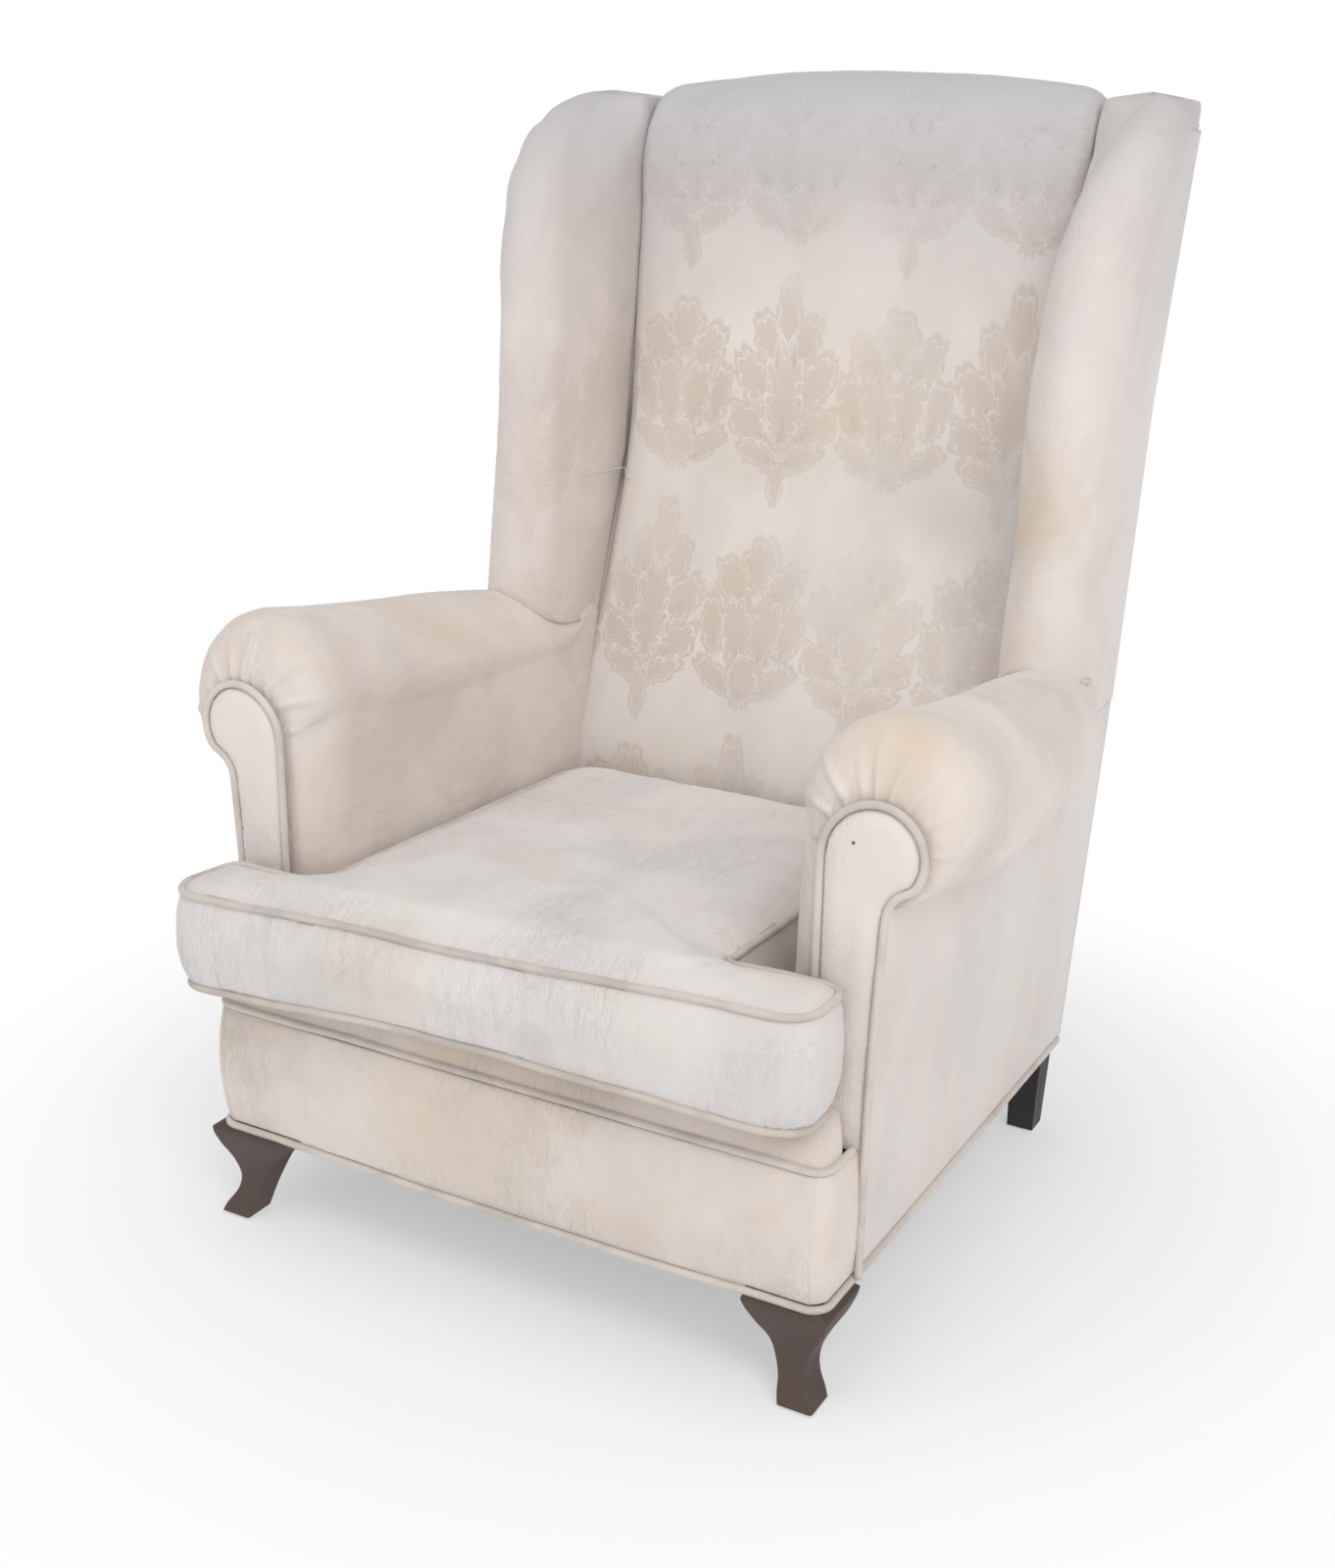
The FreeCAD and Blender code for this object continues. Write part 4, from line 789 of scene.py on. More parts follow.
def back_ring(x, neck, zs, sizes):
    """Upright section of the inside back: face, roll over the top and rear."""
    full = BACK_SEAM - TOP_CORNER
    ridge_ahead, heel_drop = 0.041, 0.042
    edge = (BACK_SEAM - abs(x)) / BACK_SEAM
    fullness = np.interp(edge, BACK_FULL[:, 0], BACK_FULL[:, 1])
    rolled = max(0.0, 1.0 - (BACK_SEAM - abs(x)) / sizes.seam_width)
    dip = sizes.seam_depth * (1.0 - math.sqrt(1.0 - rolled ** 2))
    if abs(x) <= full:
        top = BACK_TOP - TOP_CROWN * (x / full) ** 2
    else:
        top = BACK_TOP - TOP_CROWN - TOP_FALL * ((abs(x) - full) / TOP_CORNER) ** 2
    top -= dip * 0.4
    face = np.stack([np.full_like(zs, x), back_face(zs, fullness) + dip, zs], axis=1)
    over = (x, float(back_face(neck, fullness)[0]) + dip, neck)
    ridge = (x, rear_y(top) - ridge_ahead, top)
    heel = (x, rear_y(top - heel_drop) - PANEL, top - heel_drop)
    roll = (x, over[1] + 0.24 * (ridge[1] - over[1]), neck + 0.70 * (top - neck))
    foot = (x, rear_y(DECK_LOW) - PANEL, DECK_LOW)
    ring = np.vstack([
        face,
        arc(over, roll, ridge, 26),
        arc(ridge, (x, heel[1] - 0.008, top - 0.012), heel, 10),
        line(heel, foot, 30),
        line(foot, face[0], 6),
    ])
    bend = slice(len(zs) - 12, len(zs) + 14)
    ring[bend] = soften(ring[bend], 18)
    return ring


def back_pad(sizes):
    """Inside back, rolled over its arched top."""
    by_seam = -BACK_SEAM + sizes.seam_width * np.array((0.0, 0.06, 0.2, 0.42, 0.7))
    xs = np.concatenate([by_seam, np.linspace(-BACK_SEAM + sizes.seam_width, 0, 34)])
    xs = np.concatenate([xs, -xs[-2::-1]])
    neck = DECK_LOW + 0.86 * (BACK_TOP - DECK_LOW)
    zs = np.linspace(DECK_LOW, neck, 96, endpoint=False)
    rings = np.array([back_ring(x, neck, zs, sizes) for x in xs])
    up = np.linalg.norm(np.diff(rings[len(xs) // 2], axis=0), axis=1)
    v = np.concatenate([[0], np.cumsum(up)])
    cloth = np.stack(np.broadcast_arrays(xs[:, None], v[None, :]), axis=2).reshape(-1, 2)
    return loft("back_pad", rings, cloth)


def wing_pad(sizes):
    """Right wing: inside face, rolled front edge and outer side."""
    bend_z = 1.06
    zs = np.concatenate([np.linspace(SEAM_Z + 0.004, bend_z, 84, endpoint=False),
                         np.linspace(bend_z, WING_TOP, 16)])
    mid_x, mid_y, radius = wing_face(zs)
    q = math.sqrt(0.5)
    lip_points, face_points, roll_points, side_points = 5, 22, 12, 24
    shown = lip_points + face_points + 2 * roll_points + side_points
    rings = []
    for z, mx, my, r in zip(zs, mid_x, mid_y, radius):
        rear = rear_y(z)
        seam_y = min(float(back_face(z, 0.0)[0]), rear - 0.045)
        seam = np.array((BACK_SEAM + 0.001, seam_y + sizes.seam_depth * 0.7, z))
        lip = np.array((BACK_SEAM + 0.006, seam_y - 0.006, z))
        inner = np.array((mx - r, my, z))
        front = np.array((mx, my - r, z))
        outer = np.array((mx + r, my, z))
        corner = np.array((corner_x(z) - PANEL, rear - PANEL, z))
        rear_seam = np.array((BACK_SEAM + 0.001, rear - PANEL, z))
        ring = np.vstack([
            line(seam, lip, lip_points),
            arc(lip, (lip + inner) / 2 + (-0.004, 0, 0), inner, face_points),
            arc(inner, (mx - r * q, my - r * q, z), front, roll_points),
            arc(front, (mx + r * q, my - r * q, z), outer, roll_points),
            line(outer, corner, side_points),
            line(corner, rear_seam, 8),
            line(rear_seam, seam, 10),
        ])
        ring[1:shown - 1] = soften(ring[:shown], 8)[1:shown - 1]
        rings.append(ring)
    rings = np.array(rings)
    cloth = grid_cloth(rings, (0.35, 0.0), lip_points + face_points + roll_points)
    return loft("wing_right", rings, cloth)


# Arm section: points on its inside face, and up to its crown
ARM_FACE = 30
ARM_CROWN = ARM_FACE + 34


def arm_ring(y, foot_x, x_in, x_out, top, crease_z):
    """Upright section of the arm: inside face, roll, crease and hidden core."""
    q = math.sqrt(0.5)
    mid_x = (x_in + x_out) / 2
    mid_z = (top + crease_z) / 2
    half_w = (x_out - x_in) / 2
    half_h = (top - crease_z) / 2
    low = np.array((foot_x, y, DECK_LOW))
    high = np.array((x_in, y, mid_z - 0.2 * half_h))
    crown = np.array((mid_x, y, top))
    outer = np.array((x_out, y, mid_z))
    throat = np.array((min(CREASE_X, x_out - 0.010), y, crease_z))
    core = np.array((STILE_INNER, y, crease_z))
    core_low = np.array((STILE_INNER, y, DECK_LOW))
    return np.vstack([
        arc(low, (low + high) / 2 + (-0.004, 0, 0), high, ARM_FACE),
        arc(high, (mid_x - half_w * q, y, mid_z + half_h * q), crown, ARM_CROWN - ARM_FACE),
        arc(crown, (mid_x + half_w * q, y, mid_z + half_h * q), outer, 30),
        arc(outer, (mid_x + half_w * 0.72, y, mid_z - half_h * 0.74), throat, 16),
        line(throat, core, 6),
        line(core, core_low, 12),
        line(core_low, low, 6),
    ])


def arm_pad():
    """Right arm: inside face and roll, gathered in at the facing."""
    overlap = 0.008
    lip_x = FACING_INNER - overlap
    reach = LOBE_R + overlap
    start = np.array((lip_x, lip_x, LOBE_X + reach, LOBE_Z + reach, NECK_Z + 0.004))
    _, inner, outer, drop, crease = ROLL[0]
    end = np.array((ARM_INNER, BASE_HALF + inner, BASE_HALF + outer, ARM_TOP - drop, ARM_TOP - crease))
    rings = []
    y0 = FACING_Y + PIPING
    dome = 0.052
    for share in 1.0 - np.cos(np.linspace(0, 0.5 * math.pi, 16, endpoint=False)):
        swell = math.sqrt(1.0 - (1.0 - share) ** 2)
        rings.append(arm_ring(y0 + share * dome, *(start + swell * (end - start))))
    shares = np.linspace(ROLL[0][0], 1.0, 76)
    values = hermite(ROLL, shares)
    for share, (inner, outer, drop, crease) in zip(shares, values):
        rings.append(arm_ring(FACING_Y + share * ARM_LENGTH, ARM_INNER, BASE_HALF + inner,
                              BASE_HALF + outer, ARM_TOP - drop, ARM_TOP - crease))
    rings = np.array(rings)
    return loft("arm_right", rings, grid_cloth(rings, (0.0, 0.2), ARM_CROWN))


def scroll_outline(inset):
    """Facing outline from the inner foot over the scroll to the outer foot."""
    r = LOBE_R - inset
    x_in = FACING_INNER + inset
    q = math.sqrt(0.5)
    tail = math.radians(-38.0)

    def on_lobe(angle):
        return np.array((LOBE_X + r * math.cos(angle), FACING_Y, LOBE_Z + r * math.sin(angle)))

    foot_in = np.array((x_in, FACING_Y, BORDER_TOP))
    shoulder = np.array((x_in, FACING_Y, LOBE_Z - 0.012))
    top = on_lobe(math.pi / 2)
    rise = np.array((LOBE_X - (LOBE_X - x_in) * q, FACING_Y, shoulder[2] + (top[2] - shoulder[2]) * q))
    outer = on_lobe(0.0)
    low = on_lobe(tail)
    neck = np.array((NECK_X - inset, FACING_Y, NECK_Z - inset))
    throat = (low + neck) / 2 + (-0.004, 0, 0.003)
    foot_out = np.array((FACING_OUTER - inset, FACING_Y, BORDER_TOP))
    waist = (neck + foot_out) / 2 + (-0.0015, 0, 0)
    return np.vstack([
        line(foot_in, shoulder, 60),
        arc(shoulder, rise, top, 20),
        arc(top, on_lobe(math.pi / 4), outer, 16),
        arc(outer, on_lobe(tail / 2), low, 10),
        arc(low, throat, neck, 8),
        arc(neck, waist, foot_out, 48),
        foot_out[None],
    ])


def even_mesh(obj, voxel, rounds):
    """Give a closed piece an even mesh and take the steps out of it."""
    only(obj)
    mod = obj.modifiers.new("even", "REMESH")
    mod.mode = "VOXEL"
    mod.voxel_size = voxel
    bpy.ops.object.modifier_apply(modifier=mod.name)
    mod = obj.modifiers.new("soft", "SMOOTH")
    mod.factor = 0.5
    mod.iterations = rounds
    bpy.ops.object.modifier_apply(modifier=mod.name)
    obj.data.shade_smooth()


def remeshed(source, name, voxel, rounds):
    """A copy of a construction piece with an even mesh."""
    obj = bpy.data.objects.new(name, frame["nodes"][source].data.copy())
    bpy.context.scene.collection.objects.link(obj)
    even_mesh(obj, voxel, rounds)
    return obj


def set_cloth(obj, values):
    """Write the cloth coordinates of a piece."""
    layer = obj.data.attributes.get("cloth") or obj.data.attributes.new("cloth", "FLOAT_VECTOR", "POINT")
    flat = np.zeros((len(obj.data.vertices), 3), np.float32)
    flat[:, :2] = values
    layer.data.foreach_set("vector", flat.ravel())


def cushion_plan(inset):
    """T-shaped outline of the level cushion, drawn in by the inset."""
    half_body = ARM_INNER - CUSHION_ROOM
    front = FRONT_Y - CUSHION_OVERHANG
    ear_rear = FACING_Y - EAR_GAP
    turned = half_body * math.sin(CUSHION_TURN) + CUSHION_HEIGHT * math.sin(SEAT_SLOPE)
    zs = np.array((DECK_FRONT_Z, DECK_FRONT_Z + CUSHION_HEIGHT))
    rear = float(back_face(zs, 1.0).min()) - turned - 0.003
    across = min(inset, 0.4 * (ear_rear - front))
    ear = BASE_HALF - EAR_SHORT - inset
    body = half_body - inset
    y0 = front + across
    y1 = ear_rear - across
    y2 = rear - inset
    r = max(0.034 - inset * 0.5, 0.006)
    n = 0.026 + across * 0.5
    e = max(0.014 - inset * 0.2, 0.005)
    d = 1.0 - math.sqrt(0.5)

    def turn(corner, before, after, count):
        c = np.array((*corner, 0.0))
        b = np.array((*before, 0.0))
        a = np.array((*after, 0.0))
        return arc(c + b, c + b * d + a * d, c + a, count)

    half = [
        line((0, y0, 0), (ear - r, y0, 0), 60),
        turn((ear, y0), (-r, 0), (0, r), 10),
        line((ear, y0 + r, 0), (ear, y1 - e, 0), 8),
        turn((ear, y1), (0, -e), (-e, 0), 6),
        line((ear - e, y1, 0), (body + n, y1, 0), 12),
        turn((body, y1), (n, 0), (0, n), 8),
        line((body, y1 + n, 0), (body, y2 - r, 0), 80),
        turn((body, y2), (0, -r), (-r, 0), 10),
        line((body - r, y2, 0), (0, y2, 0), 40),
        np.array(((0, y2, 0),), float),
    ]
    right = np.vstack(half)
    left = right[1:-1][::-1] * (-1.0, 1.0, 1.0)
    return np.vstack([right, left])


def lay_cushion(points):
    """Place level cushion points on the sloping deck, shifted and turned as it was left."""
    p = np.array(points, float)
    pivot = FRONT_Y + BASE_DEPTH / 2
    clearance = 0.0003
    x = p[:, 0].copy()
    y = p[:, 1] - pivot
    z = p[:, 2].copy()
    p[:, 0] = x * math.cos(CUSHION_TURN) - y * math.sin(CUSHION_TURN)
    p[:, 1] = pivot + x * math.sin(CUSHION_TURN) + y * math.cos(CUSHION_TURN)
    y = p[:, 1] - FACING_Y
    p[:, 1] = FACING_Y + y * math.cos(SEAT_SLOPE) + z * math.sin(SEAT_SLOPE)
    p[:, 2] = -y * math.sin(SEAT_SLOPE) + z * math.cos(SEAT_SLOPE)
    return p + (CUSHION_SHIFT, 0.0, DECK_FRONT_Z + clearance)


def smooth(value, low, high):
    """Smooth step of an array from low to high."""
    t = np.clip((value - low) / (high - low), 0, 1)
    return t * t * (3 - 2 * t)


def settle(points):
    """Slack of a cushion that has been sat on: its ears spread and its front droops to the left."""
    spread_right, spread_left = 0.020, 0.011
    lift_right, droop_left, hang_left = 0.013, 0.009, 0.013
    p = np.array(points, float)
    ahead = 1.0 - smooth(p[:, 1], -0.36, -0.27)
    upper = smooth(p[:, 2], 0.27, 0.37)
    right = smooth(p[:, 0], 0.16, 0.31)
    left = 1.0 - smooth(p[:, 0], -0.33, -0.20)
    p[:, 0] += ahead * (spread_right * right - spread_left * left)
    lifted = lift_right * smooth(p[:, 0], -0.05, 0.30)
    drooped = droop_left * (1.0 - smooth(p[:, 0], -0.33, -0.10))
    p[:, 2] += ahead * upper * (lifted - drooped)
    hangs = 1.0 - smooth(p[:, 1], -0.405, -0.385)
    p[:, 2] -= hangs * (1.0 - upper) * hang_left * (1.0 - smooth(p[:, 0], -0.33, -0.08))
    return p


def cushion_ring(share, inset):
    """Outline of the laid cushion at a share of its height."""
    ring = cushion_plan(inset)
    ring[:, 2] = share * CUSHION_HEIGHT
    return settle(lay_cushion(ring))


def cushion_body():
    """Stuffed cushion with an even mesh."""
    shares = np.concatenate([[0.0, 0.012, 0.03, 0.06, 0.09], np.linspace(0.12, 0.83, 16),
                             [0.86, 0.885, 0.91, 0.93, 0.95, 0.965, 0.98, 0.99, 1.0]])
    insets = hermite(CUSHION, shares)[:, 0]
    rings = [cushion_ring(0.0, 2 * CUSHION[0, 1])] + [cushion_ring(s, i) for s, i in zip(shares, insets)]
    rings = np.array(rings)
    obj = loft("cushion", rings, np.zeros((rings.shape[0] * rings.shape[1], 2)))
    even_mesh(obj, 0.006, 6)
    return obj


def simulate(obj, sizes):
    """Fill a cover with stuffing: a short cloth simulation under pressure, with its movement limited."""
    rest = coords(obj)
    scene = bpy.context.scene
    scene.frame_start = 1
    scene.frame_end = sizes.frames
    mod = obj.modifiers.new("stuffing", "CLOTH")
    cloth = mod.settings
    cloth.quality = 4
    cloth.mass = 0.3
    cloth.tension_stiffness = 15.0
    cloth.compression_stiffness = 15.0
    cloth.shear_stiffness = 5.0
    cloth.bending_stiffness = 0.5
    cloth.use_pressure = True
    cloth.uniform_pressure_force = sizes.pressure
    cloth.effector_weights.gravity = 0.0
    mod.collision_settings.use_collision = False
    mod.point_cache.frame_start = 1
    mod.point_cache.frame_end = sizes.frames
    for frame_no in range(1, sizes.frames + 1):
        scene.frame_set(frame_no)
    evaluated = obj.evaluated_get(bpy.context.evaluated_depsgraph_get())
    shaped = evaluated.to_mesh()
    flat = np.empty(len(shaped.vertices) * 3, np.float32)
    shaped.vertices.foreach_get("co", flat)
    moved = flat.reshape(-1, 3).astype(float) - rest
    evaluated.to_mesh_clear()
    obj.modifiers.remove(mod)
    scene.frame_set(1)
    size = np.linalg.norm(moved, axis=1)
    limit = sizes.puff * np.tanh(size / sizes.puff) / np.maximum(size, 1e-9)
    move(obj, rest + moved * limit[:, None])


# Pleats of the arm front: angle round the scroll in degrees, length, height share, lean
PLEATS = (
    (176.0, 0.040, 0.60, 2.0),
    (148.0, 0.062, 1.00, 5.0),
    (126.0, 0.070, 1.00, 3.0),
    (107.0, 0.060, 0.70, 0.0),
    (93.0, 0.066, 1.10, 1.0),
    (80.0, 0.058, 1.00, -2.0),
    (62.0, 0.052, 0.90, -5.0),
    (38.0, 0.040, 0.45, -3.0),
    (8.0, 0.058, 0.55, -2.0),
)


def pleated(obj, sizes):
    """Raise the pleats that gather the roll in at the facing."""
    p = coords(obj)
    n = normals(obj)
    dx = p[:, 0] - LOBE_X
    dz = p[:, 2] - LOBE_Z
    radius = np.hypot(dx, dz)
    angle = np.degrees(np.arctan2(dz, dx))
    reach = np.hypot(np.maximum(radius - LOBE_R, 0.0), np.maximum(p[:, 1] - FACING_Y, 0.0))
    lift = np.zeros(len(p))
    for at, length, share, lean in PLEATS:
        gap = (angle - at - lean * reach / 0.03 + 180.0) % 360.0 - 180.0
        across = np.radians(gap) * radius / (0.0028 + 0.05 * reach)
        fall = np.clip(1.0 - reach / length, 0, 1) ** 0.8 * smooth(reach, 0.004, 0.012)
        lift += share * fall * (np.exp(-across ** 2) - 0.30 * np.exp(-(across / 2.6) ** 2))
    lift *= p[:, 1] < FACING_Y + 0.09
    move(obj, p + n * (lift * sizes.pleat)[:, None])


def wrinkled(obj, depth, scale, seed):
    """Shallow slack in a cover."""
    p = coords(obj)
    n = normals(obj)
    wave = np.empty(len(p))
    for i, (x, y, z) in enumerate(p):
        spot = Vector((x * scale[0] + seed, y * scale[1], z * scale[2]))
        wave[i] = noise(spot) + 0.45 * noise(spot * 2.3) + 0.22 * (1.0 - 2.0 * abs(noise(spot * 4.7)))
    move(obj, p + n * (wave * depth)[:, None])


class CHAIR_OT_back(bpy.types.Operator):
    """Build the inside back"""

    bl_idname = "chair.back"
    bl_label = "Inside back"

    def execute(self, context):
        sizes = context.scene.chair_sizes
        obj = back_pad(sizes)
        simulate(obj, sizes)
        refine(obj)
        wrinkled(obj, sizes.wrinkle, (5.0, 5.0, 3.0), 3.0)
        mat = finish("damask_back", context)
        piece(obj, "chair", mat, ["inside_back"])
        return {"FINISHED"}


class CHAIR_OT_wings(bpy.types.Operator):
    """Build both wings"""

    bl_idname = "chair.wings"
    bl_label = "Wings"

    def execute(self, context):
        sizes = context.scene.chair_sizes
        right = wing_pad(sizes)
        simulate(right, sizes)
        refine(right)
        left = mirror_copy(right, "wing_left")
        wrinkled(right, sizes.wrinkle, (9.0, 9.0, 4.0), 11.0)
        wrinkled(left, sizes.wrinkle, (9.0, 9.0, 4.0), 23.0)
        mat = finish("damask_wing_right", context)
        piece(right, "chair", mat, ["inside_wing_right"])
        mat = finish("damask_wing_left", context)
        piece(left, "chair", mat, ["inside_wing_left"])
        return {"FINISHED"}


class CHAIR_OT_arms(bpy.types.Operator):
    """Build both arms"""

    bl_idname = "chair.arms"
    bl_label = "Arms"

    def execute(self, context):
        sizes = context.scene.chair_sizes
        right = arm_pad()
        simulate(right, sizes)
        refine(right)
        pleated(right, sizes)
        left = mirror_copy(right, "arm_left")
        wrinkled(right, sizes.wrinkle, (10.0, 5.0, 10.0), 31.0)
        wrinkled(left, sizes.wrinkle, (10.0, 5.0, 10.0), 47.0)
        mat = finish("damask_arm", context)
        piece(right, "chair", mat, ["inside_arm_right"])
        piece(left, "chair", mat, ["inside_arm_left"])
        return {"FINISHED"}


class CHAIR_OT_facings(bpy.types.Operator):
    """Build the arm facings and their piping"""

    bl_idname = "chair.facings"
    bl_label = "Arm facings"

    def execute(self, context):
        sizes = context.scene.chair_sizes
        mat = finish("damask_facing", context)
        cord_mat = finish("piping", context)
        right = remeshed("arm_facing_right", "facing_right", 0.003, 3)
        p = coords(right)
        outline = scroll_outline(0.0)
        dome_width = 0.016
        board = 0.0045
        gap = np.min(np.linalg.norm(p[:, None, (0, 2)] - outline[None, :, (0, 2)], axis=2), axis=1)
        rise = 1.0 - (1.0 - np.clip(gap / dome_width, 0, 1)) ** 2
        front = p[:, 1] < FACING_Y + board
        p[front, 1] -= sizes.facing_dome * rise[front]
        move(right, p)
        set_cloth(right, np.stack([p[:, 0], p[:, 2]], axis=1))
        left = mirror_copy(right, "facing_left")
        piece(right, "chair", mat, ["arm_facing_right"])
        piece(left, "chair", mat, ["arm_facing_left"])
        path = scroll_outline(-PIPING)
        foot = path[-1] + np.array((0.0, 0.0, BASE_BOTTOM - BORDER_TOP))
        path = np.vstack([path, line(path[-1], foot, 24)[1:], foot[None]])
        path[:, 1] -= 0.001
        path = soften(resample(path, 230), 3)
        cord = tube("facing_piping_mesh_right", path, sizes.piping)
        other = mirror_copy(cord, "facing_piping_mesh_left")
        piece(cord, "chair", cord_mat, ["facing_piping_right"])
        piece(other, "chair", cord_mat, ["facing_piping_left"])
        return {"FINISHED"}


def tree_of(name, graph):
    """Search tree of a finished piece."""
    return BVHTree.FromObject(bpy.data.objects[name], graph)


def seam_path(arm, wing, side):
    """Line along which a wing stands on its arm, walked onto both surfaces."""
    down = Vector((0, 0, -1))
    embed = 0.002
    path = []
    for at in np.linspace(0.0, 1.0, 40):
        x = 0.268 + 0.084 * at
        y = 0.20 - 0.115 * math.sin(math.pi * min(1.0, at * 1.15) ** 0.8) + 0.02 * at
        hit = arm.ray_cast(Vector((side * x, y, 0.80)), down)[0]
        if hit is None:
            continue
        for _ in range(6):
            near, normal, _, _ = wing.find_nearest(hit)
            probe = near + normal * embed
            ray = arm.ray_cast(Vector((probe.x, probe.y, 0.80)), down)[0]
            if ray is None:
                break
            hit = ray
        path.append(np.array(hit) + (0.0, 0.0, 0.0018))
    return soften(resample(soften(np.array(path), 4), 60), 3)


def facing_tack(graph):
    """Head of the tack in the right facing."""
    radius = 0.0014
    spot = tree_of("facing_right", graph).ray_cast(Vector((0.322, -0.6, 0.515)), Vector((0, 1, 0)))[0]
    ring = np.array([(radius * math.cos(t), 0.0, radius * math.sin(t))
                     for t in np.linspace(0, 2 * math.pi, 12, endpoint=False)])
    sections = ((1.0, 0.001), (1.0, -0.0004), (0.6, -0.0010))
    rings = np.array([np.array(spot) + ring * share + (0, ahead, 0) for share, ahead in sections])
    return loft("facing_tack", rings, grid_cloth(rings))


def loose_thread(graph):
    """Thread that lies across the seam between the back and the left wing."""
    away = Vector((0, 1, 0))
    back = tree_of("back_pad", graph)
    wing = tree_of("wing_left", graph)
    path = []
    for at in np.linspace(0, 1, 24):
        x = -0.280 + 0.036 * at
        z = 0.683 + 0.004 * math.sin(at * 5.0) - 0.004 * at
        hit = back.ray_cast(Vector((x, -0.5, z)), away)[0]
        y = hit.y if hit is not None else (path[-1][1] if path else 0.24)
        path.append(np.array((x, y - 0.0012, z)))
    for point in path:
        hit = wing.ray_cast(Vector((point[0], -0.5, point[2])), away)[0]
        if hit is not None:
            point[1] = min(point[1], hit.y - 0.0010)
    return tube("loose_thread", soften(np.array(path), 4), 0.0006, sides=6)


class CHAIR_OT_trim(bpy.types.Operator):
    """Build the piping where wing meets arm, the tack in the facing and the loose thread"""

    bl_idname = "chair.trim"
    bl_label = "Trim"

    def execute(self, context):
        sizes = context.scene.chair_sizes
        graph = bpy.context.evaluated_depsgraph_get()
        mat = finish("piping", context)
        for side, name in ((1.0, "right"), (-1.0, "left")):
            path = seam_path(tree_of("arm_" + name, graph), tree_of("wing_" + name, graph), side)
            cord = tube("wing_seam_piping_" + name, path, sizes.piping * 0.80)
            piece(cord, "chair", mat, ())
        piece(facing_tack(graph), "chair", finish("tack", context), ())
        piece(loose_thread(graph), "chair", finish("thread", context), ())
        return {"FINISHED"}


def border_pad():
    """Padded band over the front rail, its cloth carried round both corners."""
    obj = remeshed("front_border", "border", 0.0035, 4)
    p = coords(obj)
    wraps = np.abs(p[:, 0]) > BASE_HALF - 0.012
    along = np.where(wraps, np.sign(p[:, 0]) * (BASE_HALF + p[:, 1] - FRONT_Y), p[:, 0])
    set_cloth(obj, np.stack([along, p[:, 2]], axis=1))
    return obj


def deck_pad():
    """Seat deck, its lip spread to the border piping and rounded at the ends."""
    lip_spread, lip_reach = 0.0125, 0.0075
    obj = remeshed("seat_deck", "deck", 0.006, 3)
    p = coords(obj)
    set_cloth(obj, p[:, :2])
    ahead = np.clip((FACING_Y - 0.004 - p[:, 1]) / 0.020, 0, 1)
    side = np.clip((np.abs(p[:, 0]) - 0.262) / 0.060, 0, 1)
    p[:, 0] += np.sign(p[:, 0]) * lip_spread * side * ahead
    p[:, 1] -= lip_reach * np.clip(1.0 - (p[:, 1] - FRONT_Y - 0.010) / 0.045, 0, 1)
    rim = np.clip((0.334 - np.abs(p[:, 0])) / 0.050, 0, 1)
    dip = 1.0 - ahead * (1.0 - np.sqrt(1.0 - (1.0 - rim) ** 2))
    p[:, 2] = DECK_LOW + (p[:, 2] - DECK_LOW) * (0.15 + 0.85 * dip)
    move(obj, p)
    return obj


def front_run(half, y0, y_end, z, side_points):
    """Line from the left side round both front corners to the right side."""
    r = BASE_CORNER
    k = r * (1 - math.sqrt(0.5))
    return np.vstack([
        line((-half, y_end, z), (-half, y0 + r, z), side_points),
        arc((-half, y0 + r, z), (-half + k, y0 + k, z), (-half + r, y0, z), 10),
        line((-half + r, y0, z), (half - r, y0, z), 120),
        arc((half - r, y0, z), (half - k, y0 + k, z), (half, y0 + r, z), 10),
        line((half, y0 + r, z), (half, y_end, z), side_points),
    ])


def border_cord(sizes):
    """Piping on top of the front border."""
    half = BASE_HALF - PIPING / 2
    z = BORDER_TOP + PIPING
    y_end = FACING_Y - 2 * PIPING
    path = np.vstack([front_run(half, FRONT_Y + PIPING / 2, y_end, z, 8), ((half, y_end, z),)])
    path = soften(path, 2)
    for point in path:
        point[2] += 0.0012 * noise(Vector((point[0] * 9.0, 3.0, 1.0)))
    return tube("border_piping_mesh", path, sizes.piping)


def base_cord(sizes):
    """Piping round the lower edge of the base, sagging between the front legs."""
    half = BASE_HALF
    z = BASE_BOTTOM - PIPING
    r = BASE_CORNER - PIPING
    k = r * (1 - math.sqrt(0.5))
    path = np.vstack([
        front_run(half, FRONT_Y, REAR_Y - r, z, 110),
        arc((half, REAR_Y - r, z), (half - k, REAR_Y - k, z), (half - r, REAR_Y, z), 6),
        line((half - r, REAR_Y, z), (r - half, REAR_Y, z), 100),
        arc((r - half, REAR_Y, z), (k - half, REAR_Y - k, z), (-half, REAR_Y - r, z), 6),
    ])
    front = path[:, 1] < FRONT_Y + 0.03
    across = np.clip(1.0 - (path[:, 0] / 0.26) ** 2, 0, 1)
    path[:, 2] -= np.where(front, sizes.sag * across, 0.0)
    for point in path:
        point[2] += 0.0010 * noise(Vector((point[0] * 12.0, point[1] * 12.0, 5.0)))
    return tube("base_piping_mesh", path, sizes.piping * 1.05, closed=True)


